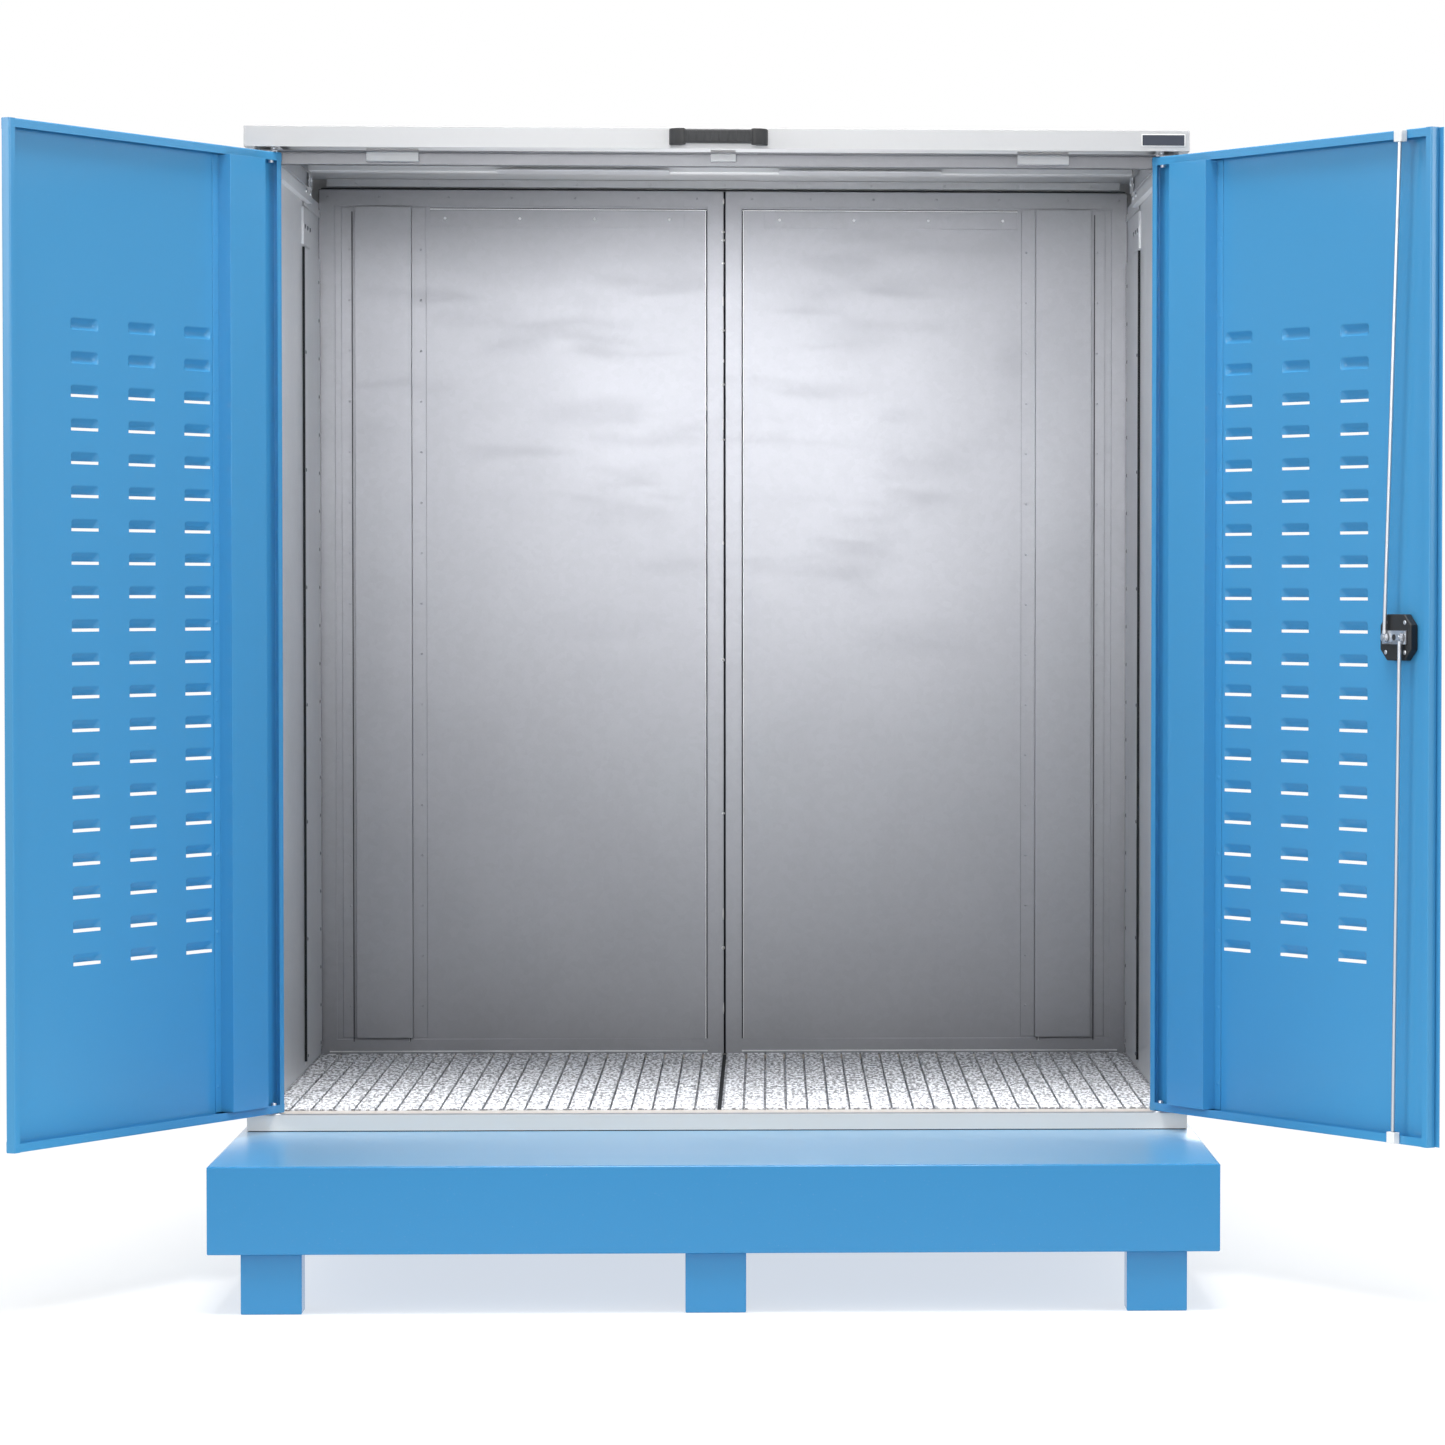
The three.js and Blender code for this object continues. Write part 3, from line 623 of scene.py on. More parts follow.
def turned(profile: Sequence[Spot], base: Point, axis: Point, sides: int = 20) -> Mesh:
    """Turns a profile about an axis.

    Args:
        profile: (radius, distance along the axis) points; a radius of 0 closes an end.
        base: the point where the distance is 0.
        axis: the axis's direction.
        sides: the number of sides.

    Returns:
        The closed form.
    """
    solid = bmesh.new()
    turn = Vector((0, 0, 1)).rotation_difference(Vector(axis).normalized())
    loops = []
    for radius, along in profile:
        angles = [math.tau * i / sides for i in range(sides if radius else 1)]
        spots = [(radius * math.cos(angle), radius * math.sin(angle), along) for angle in angles]
        loops.append([solid.verts.new(Vector(base) + turn @ Vector(spot)) for spot in spots])
    return skinned(solid, loops)


def joined(parts: Iterable[Mesh]) -> Mesh:
    """Puts several meshes into one and frees them.

    Args:
        parts: the meshes.

    Returns:
        The mesh of them all.
    """
    whole = bmesh.new()
    for part in parts:
        mesh = bpy.data.meshes.new("part")
        part.to_mesh(mesh)
        part.free()
        whole.from_mesh(mesh)
        bpy.data.meshes.remove(mesh)
    return whole


def double_skin(layers: Sequence[Sequence[Sequence[Point]]], windows: bool = False) -> Mesh:
    """Closes two like grids of points into a sheet.

    Args:
        layers: the two grids, each a list of columns of points.
        windows: whether every second cell of every second column is open.

    Returns:
        The closed sheet.
    """
    solid = bmesh.new()
    grids = [[[solid.verts.new(spot) for spot in column] for column in layer] for layer in layers]
    wide, tall = len(layers[0]) - 1, len(layers[0][0]) - 1

    def empty(i: int, j: int) -> bool:
        """Whether a cell is outside the sheet."""
        return not (0 <= i < wide and 0 <= j < tall) or (windows and i % 2 == 1 and j % 2 == 1)

    for i, j in ((i, j) for i in range(wide) for j in range(tall) if not empty(i, j)):
        corners = ((i, j), (i + 1, j), (i + 1, j + 1), (i, j + 1))
        for grid in grids:
            solid.faces.new([grid[a][b] for a, b in corners])
        for k, (across, up) in enumerate(((0, -1), (1, 0), (0, 1), (-1, 0))):
            if empty(i + across, j + up):
                (a, b), (c, d) = corners[k], corners[(k + 1) % 4]
                solid.faces.new((grids[0][a][b], grids[0][c][d], grids[1][c][d], grids[1][a][b]))
    return solid


def rivet(centre: Point, way: Point, radius: float = 3.2, height: float = 1.4) -> Mesh:
    """A blind rivet's dome with the dimple of its broken mandrel.

    Args:
        centre: the middle of its foot.
        way: the direction that it stands out in.
        radius: its foot's radius.
        height: how far it stands out.

    Returns:
        The rivet.
    """
    side = [(radius, -0.6), (radius, 0.3), (radius * 0.8, height * 0.8)]
    crown = [(radius * 0.35, height), (radius * 0.2, height * 0.55), (0, height * 0.5)]
    return turned(side + crown, centre, way, 10)


class Workshop:
    """Makes Blender objects from millimetre meshes, dresses them and hands them to the frame.

    A face wider than BROAD millimetres stays flat. An edge sharper than SHARP radians is rounded.
    """

    BROAD = 6
    SHARP = 0.6

    def __init__(self, frame: dict[str, object]) -> None:
        """Keeps the frame and builds each finish once.
        """
        self.nodes = frame["nodes"]
        self.bodies = frame["record"]["behaviour"]["bodies"]
        self.looks = {finish: finish.value[1].material() for finish in Finish}
        self.done: set[str] = set()

    def add(
        self, name: str, solid: Mesh, finish: Finish, body: str = "store", stands_for: Sequence[str] = (),
        smooth: float = 35,
    ) -> None:
        """Turns a mesh in cabinet millimetres into a piece.

        Args:
            name: the piece's name.
            solid: its mesh, which is freed.
            finish: its finish.
            body: the frame body that carries it.
            stands_for: the nodes that it replaces.
            smooth: the angle below which faces shade as one.
        """
        for vertex in solid.verts:
            vertex.co = Vector((vertex.co.x, vertex.co.y - TRAY_MIDDLE, vertex.co.z)) * MM
        bmesh.ops.dissolve_degenerate(solid, dist=1e-6, edges=solid.edges)
        bmesh.ops.recalc_face_normals(solid, faces=solid.faces)
        mesh = bpy.data.meshes.new(name)
        solid.to_mesh(mesh)
        solid.free()
        mesh.materials.append(self.looks[finish])
        mesh.set_sharp_from_angle(angle=math.radians(smooth))
        for face in mesh.polygons:
            spots = [mesh.vertices[i].co for i in face.vertices]
            longest = max((a - b).length for a, b in zip(spots, spots[1:] + spots[:1]))
            face.use_smooth = face.area / longest < self.BROAD * MM
        piece = bpy.data.objects.new(name, mesh)
        bpy.context.scene.collection.objects.link(piece)
        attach(piece, body)
        if stands_for:
            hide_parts(*stands_for)
            self.done.update(stands_for)
        log.info("%s on %s: %d faces", name, body, len(mesh.polygons))

    def softened(self, node: str, finish: Finish, radius: float, segments: int = 2) -> None:
        """Dresses a frame node as it is, with its outer edges rounded.

        Args:
            node: the frame's node.
            finish: its finish.
            radius: how far the rounding reaches from an edge, in millimetres.
            segments: the rounding's steps.
        """
        solid = bmesh.new()
        solid.from_mesh(self.nodes[node].data)
        bmesh.ops.scale(solid, vec=(1 / MM,) * 3, verts=solid.verts)
        bmesh.ops.translate(solid, vec=(0, TRAY_MIDDLE, 0), verts=solid.verts)
        bmesh.ops.remove_doubles(solid, verts=solid.verts, dist=0.01)
        bmesh.ops.dissolve_limit(solid, angle_limit=math.radians(1), verts=solid.verts, edges=solid.edges)
        closed = [edge for edge in solid.edges if edge.is_convex and len(edge.link_faces) == 2]
        rounded(solid, [edge for edge in closed if edge.calc_face_angle() > self.SHARP], radius, segments)
        body = next(name for name, nodes in self.bodies.items() if node in nodes)
        self.add(node + "_dressed", solid, finish, body, [node])

    def soften_pairs(self, *pairs: tuple[object, ...]) -> None:
        """Dresses nodes that come in a left and a right one.

        Args:
            pairs: (name without its side, finish, radius, segments) for each.
        """
        for side in Side:
            for stem, *look in pairs:
                self.softened(f"{stem}_{side.word}", *look)


# Sub-assemblies


@dataclass
class SumpTray:
    """The folded sump tray with its closed front deck, and the nine feet under it."""

    half: float = 740
    front: float = -523
    rear: float = 1150
    low: float = 89
    high: float = 218
    sheet: float = 3
    rim: float = 40
    reach: float = 60
    fold: float = 2.2
    coat: float = 0.5
    foot_round: float = 5

    def level(self, inset: float, z: float) -> Level:
        """A rectangle that stands in from the tray's outer faces."""
        return (inset - self.half, self.front + inset, self.half - inset, self.rear - inset, z)

    def shell(self) -> Mesh:
        """The tray as one closed skin, with its mouth under the gratings.

        Returns:
            The tray's mesh.
        """
        inside = self.half - self.rim
        mouth = (-inside, self.reach, inside, self.rear - self.rim)
        levels = [
            self.level(self.sheet, self.low + self.sheet),
            self.level(self.sheet, self.high - self.sheet),
            (*mouth, self.high - self.sheet),
            (*mouth, self.high),
        ]
        levels += [self.level(inset, self.high - drop) for drop, inset in quarter(self.fold, 4)]
        levels += [self.level(inset, self.low + lift) for inset, lift in quarter(self.fold, 4)]
        return rings(levels, 1.6)

    def build(self, shop: Workshop) -> None:
        """Makes the tray, a paler coat on its deck that is painted reflection, and dresses the feet.

        Args:
            shop: the workshop.
        """
        shop.add("tray_shell", self.shell(), Finish.TRAY, stands_for=["sump_tray", "sump_floor", "tray_deck"])
        edge = self.fold + 1
        near, far = (edge - self.half, self.front + edge), (self.half - edge, -0.4)
        # A paler coat over the deck: painted reflection.
        deck = block((*near, self.high - 0.4), (*far, self.high + self.coat), 0.3)
        shop.add("deck_coat", deck, Finish.DECK)
        for row in ("front", "middle", "rear"):
            for place in ("left", "centre", "right"):
                shop.softened(f"foot_{row}_{place}", Finish.TRAY, self.foot_round, 4)


@dataclass
class BaseFrame:
    """The folded sill and rails on the tray, and a dark strip under them that is painted shade in the gap."""

    half: float = 730
    ledge: float = 24
    top: float = 244
    foot: float = 218.3
    rear: float = 1100
    seal_inset: Spot = (14, 6)
    seal_depth: float = 14

    def build(self, shop: Workshop) -> None:
        """Dresses the sill and rails, and makes a dark strip under them and a darker strip on the sill's top,
        both painted shade.

        Args:
            shop: the workshop.
        """
        # The sill and rails take the paler grey copy, which is painted light.
        for node in ("front_sill", "base_rail_left", "base_rail_right", "base_rail_rear"):
            shop.softened(node, Finish.SILL, 1.3, 3)
        # A dark strip in the gap under the sill and rails: painted shade.
        under = self.foot - 0.2
        shade_strips = [block((2 - self.half, -0.3, under), (self.half - 2, self.seal_depth, self.foot + 1.5), 0.3)]
        span = [self.half - inset for inset in self.seal_inset]
        shade_strips += [side_block(side, span, (4, self.rear), (under, self.foot + 3), 0.5) for side in Side]
        shop.add("sill_seal", joined(shade_strips), Finish.DARK_GAP)
        # A darker galvanised strip on the sill's top: painted shade, so the top reads darker than the face.
        near, far = (3 - self.half, 2.5), (self.half - 3, self.ledge - 1)
        worn = block((*near, self.top - 0.2), (*far, self.top + 0.3), 0.2)
        shop.add("sill_top_wear", worn, Finish.BEAM)


@dataclass
class Gratings:
    """Two gratings: bearing bars front to back, and short lumpy cross bars between them.

    The cross bars are set uneven by up to drift along the grating, by up to slump in height and by up to tilt
    from end to end.
    """

    side: float = 704.6
    middle: float = 3.2
    front: float = 73.6
    rear: float = 1112.4
    low: float = 220.1
    high: float = 247.1
    bays: int = 21
    bar: float = 3
    border: float = 4
    cross_pitch: float = 11.2
    cross_bar: float = 4.6
    cross_deep: float = 11
    groove: float = 0.5
    sink: float = 10
    drift: float = 0.5
    slump: float = 1.3
    tilt: float = 0.25
    crown: float = 1.2
    clear: float = 0.3
    slack: float = 0.2

    def strut(self, solid: Mesh, low: Point, high: Point, tilt: float = 0, chamfer: float = 0.5) -> None:
        """Adds one bar with a narrowed top, tilted a little along its length.

        Args:
            solid: the mesh to add it to.
            low: the bar's lowest corner.
            high: its highest corner.
            tilt: how much one end stands above the middle, and the other below it.
            chamfer: how far the top is drawn in.
        """
        (x0, y0, z0), (x1, y1, z1) = low, high
        rows = []
        for z, inset, tip in ((z0, 0, 0), (z1 - chamfer, 0, tilt), (z1, chamfer, tilt)):
            left = [(x0, y0 + inset, z - tip), (x0, y1 - inset, z - tip)]
            right = [(x1, y1 - inset, z + tip), (x1, y0 + inset, z + tip)]
            rows.append([solid.verts.new(spot) for spot in left + right])
        skinned(solid, rows)

    def bars(self, side: Side) -> Mesh:
        """All the bars of one grating.

        Args:
            side: which grating.

        Returns:
            The mesh of its bars.
        """
        draw = random.Random(11 + side.value)
        low_x, high_x = side.span(self.middle, self.side)
        solid = bmesh.new()
        top = self.high - self.clear
        pitch = (high_x - low_x - self.bar) / self.bays
        for i in range(self.bays + 1):
            x = low_x + i * pitch
            height = top - (0 if i in (0, self.bays) else self.sink)
            self.strut(solid, (x, self.front, self.low), (x + self.bar, self.rear, height))
        for y in (self.front, self.rear - self.border):
            for i in range(self.bays):
                x = low_x + i * pitch + self.bar + self.slack
                end = x + pitch - self.bar - 2 * self.slack
                self.strut(solid, (x, y, self.low), (end, y + self.border, top))
        length = self.rear - self.front - 2 * self.border
        count = int(length / self.cross_pitch)
        for i in range(self.bays):
            x = low_x + i * pitch + self.bar
            end = x + pitch - self.bar - self.groove
            for j in range(1, count):
                y = self.front + self.border + j * (length / count) - self.cross_bar / 2
                y += draw.uniform(-self.drift, self.drift)
                height = top + draw.uniform(-self.slump, 0)
                low = (x + self.groove, y, top - self.cross_deep)
                tilt = draw.uniform(-self.tilt, self.tilt)
                self.strut(solid, low, (end, y + self.cross_bar, height), tilt, self.crown)
        return solid

    def build(self, shop: Workshop) -> None:
        """Makes both gratings and a dark block in the gap between them, which is painted shade.

        Args:
            shop: the workshop.
        """
        for side in Side:
            node = "grating_" + side.word
            shop.add(node + "_bars", self.bars(side), Finish.GRATING, stands_for=[node], smooth=20)
        # A dark block in the gap between the gratings: painted shade.
        near, far = (-self.middle, self.front + 1, self.low), (self.middle, self.rear - 1, self.high - 3)
        shop.add("grating_gap", block(near, far, 0.2), Finish.DARK_GAP)


@dataclass
class Cabinet:
    """The walls, liners and framed back, with their rivets, riveted strips and the sealed middle joint.

    A fold of the back is (distance from the middle, dark joint's width, bright edge's width, foot, top);
    joints are painted shade, edges painted highlight.
    """

    face: float = 705.2
    back_face: float = 1113
    recess: float = 3
    relief: float = 0.9
    strip: Spot = (70, 512)
    strip_z: Spot = (1690, 1719)
    folds: tuple[tuple[float, ...], ...] = (
        (30.3, 1.9, 1.3, 262, 1722),
        (548.2, 1.8, 1.2, 268, 1716),
        (646.4, 1.8, 0, 268, 1716),
        (680, 1.2, 0, 262, 1722),
    )
    rib: Spot = (540, 650)
    dome: Spot = (2.0, 1)
    rib_rivets: Spot = (528, 652)
    top_rivets: tuple[float, ...] = (48, 150, 260, 370, 480, 600, 690)
    top_seal: tuple[Point, Point] = ((-701, 1114, 1755.2), (701, 1121, 1756.6))
    seam: tuple[Point, Point] = ((-1.4, 1119, 245), (1.4, 1131, 1754))
    # lip is a bright strip on the fields' foot fold: painted highlight.
    lip: tuple[Spot, Spot, Spot] = ((30, 690), (1111.4, 1113.2), (249.5, 252))
    pad_y: Spot = (781, 1099)
    pad_z: tuple[Spot, Spot] = ((262, 1632), (1704, 1716))

    @property
    def sheet(self) -> float:
        """The plane of the back's recessed fields."""
        return self.back_face + self.recess

    def strips(self) -> Mesh:
        """The thin riveted strip near the top of each recessed field."""
        ys = (self.sheet - self.relief, self.sheet + 0.3)
        return joined(side_block(side, self.strip, ys, self.strip_z, 0.3) for side in Side)

    def strip_rivets(self) -> Mesh:
        """The rivets that hold the strips of the fields, bright with painted highlight."""
        places = [(side.value * x, self.sheet - self.relief) for side in Side for x in range(96, 512, 130)]
        return joined(rivet((x, y, 1705), MINUS_Y, 2.6, 1.3) for x, y in places)

    def edges(self, lit: bool) -> Mesh:
        """Thin lines along the folded edges round the back's fields, as painted highlight and painted shade.

        Args:
            lit: true for the bright folds' painted highlight, false for the painted shade of the dark joint
                beside each of them.

        Returns:
            The mesh of thin lines.
        """
        back = self.sheet + 0.2
        parts = []
        for side in Side:
            for near, dark, bright, low, high in self.folds:
                start, wide = (near + dark, bright) if lit else (near, dark)
                if wide:
                    on_rib = self.rib[0] < near < self.rib[1]
                    front = self.back_face - 0.3 if on_rib else self.sheet - 0.4
                    parts.append(side_block(side, (start, start + wide), (front, back), (low, high)))
            low = 1720.4 if lit else 1721.8
            parts.append(side_block(side, (31, 512), (self.sheet - 0.4, back), (low, low + 1.4)))
        return joined(parts)

    def rivets(self) -> Mesh:
        """The rivets of the ribs, the back's top and the side strips.

        Returns:
            The mesh of them all.
        """
        parts = []
        for side in Side:
            for x in self.rib_rivets:
                spots = [(side.value * x, self.sheet - 1.8, 330 + 88 * i) for i in range(16)]
                parts += [rivet(spot, MINUS_Y, *self.dome) for spot in spots]
            for x in self.top_rivets:
                parts.append(rivet((side.value * x, self.back_face, 1741), MINUS_Y, *self.dome))
            x = side.value * (self.face - 3.2)
            for i in range(21):
                rows = (1072,) if i % 3 else (1072, 800)
                parts += [rivet((x, y, 270 + 66 * i), side.inward) for y in rows]
            x = side.value * (self.face - 4)
            parts += [rivet((x, y, 1668), side.inward, 4, 2) for y in (780, 830, 880)]
        return joined(parts)

    def pads(self) -> Mesh:
        """The raised sheets on the liners, bright with painted light."""
        span = (self.face - 3.2, self.face - 1.9)
        return joined(side_block(side, span, self.pad_y, zs, 0.5) for side in Side for zs in self.pad_z)

    def pad_gaps(self) -> Mesh:
        """Dark strips in the gaps in front of the raised sheets: painted shade."""
        span, ys = (self.face - 3.9, self.face + 0.4), (774, self.pad_y[0] - 0.1)
        return joined(side_block(side, span, ys, (262, 1634), 0.2) for side in Side)

    def sealant(self) -> Mesh:
        """The lumps of sealant that are squeezed out along the back's middle joint.

        Returns:
            The mesh of them all.
        """
        draw = random.Random(5)
        lumps = []
        z = 1742.0
        while z > 262:
            tall = draw.choice((3, 5, 9, 22)) * draw.uniform(0.7, 1.3)
            wide = draw.uniform(0.8, 1.3) + (1.8 if tall < 6 else 0)
            x = -1.9 + draw.uniform(-0.5, 0.3)
            levels = []
            for k, swell in enumerate((0.35, 0.9, 1.0, 0.8, 0.35)):
                half, y = swell * wide, self.back_face - 1.6 * swell
                levels.append((x - half, y, x + half, self.back_face + 0.5, z - tall * (1 - k / 4)))
            lumps.append(rings(levels, 0.2, 2))
            z -= tall + draw.uniform(8, 60) * (1 if z > 1350 else 4.5)
        return joined(lumps)

    def build(self, shop: Workshop) -> None:
        """Dresses the walls and adds their fastenings.

        Args:
            shop: the workshop.
        """
        # The liners take the lightened liner finish, which is painted light.
        shop.soften_pairs(
            ("side_wall", Finish.GREY, 1.2, 3), ("side_liner", Finish.LINER, 0.6),
            ("back_panel", Finish.SHEET, 0.6), ("back_rib", Finish.SHEET, 0.5),
        )
        shop.add("riveted_strips", self.strips(), Finish.SHEET)
        shop.add("strip_rivets", self.strip_rivets(), Finish.LINER)
        shop.add("cabinet_rivets", self.rivets(), Finish.SHEET)
        shop.add("side_pads", self.pads(), Finish.LINER)
        shop.add("side_gaps", self.pad_gaps(), Finish.DARK_GAP)
        # A dark strip under the lid at the back's top edge: painted shade in the gap.
        shop.add("back_top_seal", block(*self.top_seal, 0.3), Finish.DARK_GAP)
        # A dark strip behind the back's middle joint: painted shade in the gap.
        shop.add("middle_seam", block(*self.seam), Finish.DARK_GAP)
        # A bright strip on the foot fold of each field: painted highlight.
        lips = joined(side_block(side, *self.lip, 0.5) for side in Side)
        shop.add("back_foot_lips", lips, Finish.LINER)
        shop.add("field_joints", self.edges(False), Finish.DARK_GAP)
        shop.add("field_folds", self.edges(True), Finish.LINER)
        shop.add("middle_sealant", self.sealant(), Finish.SEAL)


@dataclass
class Head:
    """The beam over the doors with its stops, and the rails of the lid stays.

    A stop is (place, left end, right end, foot).
    """

    stops: tuple[tuple[str, float, float, float], ...] = (
        ("left", -543, -463, 1720), ("centre", -12.5, 26.5, 1723), ("right", 463, 543, 1720),
    )
    face: Spot = (16.9, 18.4)
    shelf: Spot = (17.1, 33.2)
    sheet: float = 1.4
    top: float = 1739.4
    screw_x: float = 694

    def fixings(self) -> Mesh:
        """Screws in the beam and in the stay rails."""
        spots = [(side, y, z) for side in Side for y in (110, 160, 720, 800) for z in (1724, 1748)]
        return joined(rivet((side.value * self.screw_x, y, z), side.inward, 4.2, 2.4) for side, y, z in spots)

    def build(self, shop: Workshop) -> None:
        """Dresses the beam, stops and rails.

        Args:
            shop: the workshop.
        """
        shop.softened("head_beam", Finish.RAIL, 0.5)
        for place, low, high, foot in self.stops:
            face = block((low, self.face[0], foot), (high, self.face[1], self.top), 0.4)
            shelf = block((low, self.shelf[0], foot), (high, self.shelf[1], foot + self.sheet), 0.4)
            shop.add("stop_" + place, joined([face, shelf]), Finish.GREY, stands_for=["door_stop_" + place])
        # The stay rails take the lightened liner finish, which is painted light.
        shop.soften_pairs(
            ("stay_rail", Finish.LINER, 0.6), ("lid_hinge_leaf", Finish.PLATED, 0.6),
            ("lower_pivot", Finish.PLATED, 0.5), ("upper_pivot", Finish.PLATED, 0.5),
        )
        shop.add("head_fixings", self.fixings(), Finish.PLATED)


@dataclass
class Lid:
    """The lift-up lid: a folded pan, a hat rail across its middle, a bow handle and a bare name plate.

    end is the outline of the handle's right end, as (x, y), with its foot on the lid's skirt.
    """

    half: float = 730
    depth: float = 1140
    low: float = 1740.2
    high: float = 1773.2
    sheet: float = 1.5
    fold: float = 2.4
    plate: tuple[float, float, float, float] = (655, 723, 1747.5, 1766.5)
    end: tuple[Spot, ...] = (
        (76, -0.3), (76, -10), (73, -19), (66, -26), (58, -28),
        (52, -28), (50, -17), (55, -14), (58, -9), (58, -0.3),
    )
    end_z: Spot = (1745, 1770)
    rear_flange: tuple[Point, Point] = ((-690, 1096, 1758), (690, 1097.4, 1771))
    rail_plates: tuple[Spot, Spot] = ((-370, -86), (94, 362))

    def level(self, inset: float, z: float) -> Level:
        """A rectangle that stands in from the lid's outer faces."""
        return (inset - self.half, inset, self.half - inset, self.depth - inset, z)

    def pan(self) -> Mesh:
        """The lid's skin with rounded folds.

        Returns:
            The pan's mesh.
        """
        levels = [
            self.level(self.sheet, self.high - self.sheet),
            self.level(self.sheet, self.low),
            self.level(0, self.low),
        ]
        levels += [self.level(inset, self.high - drop) for inset, drop in quarter(self.fold, 5)]
        return rings(levels, 1.4)

    def handle_ends(self) -> Mesh:
        """The raised dark ends of the moulded bow handle."""
        ends = [prism([(side.value * x, y) for x, y in self.end], Axis.Z, *self.end_z) for side in Side]
        return joined(rounded(end, end.edges[:], 1.6) for end in ends)

    def grip(self) -> Mesh:
        """The softer ribbed grip between the handle's ends."""
        ribs = [block((x, -27.8, 1749), (x + 4, -26.6, 1766), 0.5) for x in range(-48, 49, 12)]
        return joined([block((-54, -27.2, 1746.8), (54, -17.2, 1768.2), 3.2, 4), *ribs])

    def build(self, shop: Workshop) -> None:
        """Makes the lid and what it carries.

        Args:
            shop: the workshop.
        """
        shop.add("lid_skin", self.pan(), Finish.GREY, "lid", ["lid_pan"])
        shop.softened("lid_cross_rail", Finish.GREY, 1)
        shop.add("handle_ends", self.handle_ends(), Finish.BLACK, "lid", ["lid_handle"])
        shop.add("handle_grip", self.grip(), Finish.CHARCOAL, "lid", ["lid_handle"])
        x0, x1, z0, z1 = self.plate
        shop.add("plate_border", block((x0, -1.0, z0), (x1, -0.1, z1), 0.4), Finish.NYLON, "lid")
        face = block((x0 + 1.4, -1.6, z0 + 1.4), (x1 - 1.4, -0.8, z1 - 1.4), 0.5)
        shop.add("plate_face", face, Finish.SLATE, "lid")
        flange = block(*self.rear_flange, 0.4)
        heads = (rivet((x, self.rear_flange[0][1], 1763), MINUS_Y, 2.6) for x in range(-640, 641, 128))
        shop.add("lid_rear_flange", joined([flange, *heads]), Finish.BEAM, "lid")
        plates = (block((low, 536, 1746), (high, 628, 1748), 0.5) for low, high in self.rail_plates)
        shop.add("cross_rail_plates", joined(plates), Finish.BEAM, "lid")
        shop.soften_pairs(
            ("stay_bracket", Finish.BEAM, 0.5), ("lid_hinge_strap", Finish.PLATED, 0.6),
            ("stay_arm", Finish.PLATED, 0.7),
        )


@dataclass(frozen=True)
class Louvre:
    """One pressed louvre: the sheet is slit at the bottom, pushed out and still joined at its other sides."""

    width: float = 70
    window: float = 17.5
    slit: float = 4.5
    reach: float = 6.3
    corner: float = 7
    rise: float = 11
    margin: float = 1.4
    skin: float = 0.05

    def depth(self, across: float, up: float) -> float:
        """How far the hood stands out at a point.

        Args:
            across: the distance from the louvre's middle.
            up: the height above the slit's foot.

        Returns:
            The distance out of the sheet.
        """
        side = self.width / 2 - abs(across)
        top = self.window - up
        if side < self.corner and top < self.corner:
            edge = self.corner - math.hypot(self.corner - side, self.corner - top)
        else:
            edge = min(side, top)
        share = min(max(edge / self.rise, 0), 1)
        return self.reach * math.sin(share * math.pi / 2)

    def heights(self, blind: bool) -> list[float]:
        """The heights of the hood's rows of points above the slit's foot.

        Args:
            blind: whether the louvre is pressed without an open slit.

        Returns:
            The heights.
        """
        foot = 0 if blind else self.slit
        span = self.window - foot
        rows = [foot + span * share for share in (0, 0.18, 0.4, 0.6, 0.78, 0.92)]
        rows += [self.window, self.window + self.margin]
        return [-self.margin, 0, 1.2, 3, *(row for row in rows if row > 3.4)] if blind else rows

    def hood(self, u: float, z: float, blind: bool, face: float, sheet: float) -> Mesh:
        """The hood's two skins, closed round their rim.

        Args:
            u: where the louvre starts across the door.
            z: the bottom of its slit.
            blind: whether it is pressed without an open slit.
            face: the door's outer plane.
            sheet: the door's sheet.

        Returns:
            The hood's mesh.
        """
        half = self.width / 2
        arms = [inset - half for inset in (-self.margin, 0.6, 2.4, 5, 8, 11.5)]
        heights = self.heights(blind)
        fades = [min(max(up, 0) / self.slit, 1) if blind else 1 for up in heights]
        layers = []
        for base in (face - sheet - self.skin, face + self.skin):
            layer = []
            for across in (*arms, 0, *(-arm for arm in reversed(arms))):
                outs = [base + self.depth(across, max(up, 0)) * fade for up, fade in zip(heights, fades)]
                layer.append([(u + half + across, out, z + up) for out, up in zip(outs, heights)])
            layers.append(layer)
        return double_skin(layers)


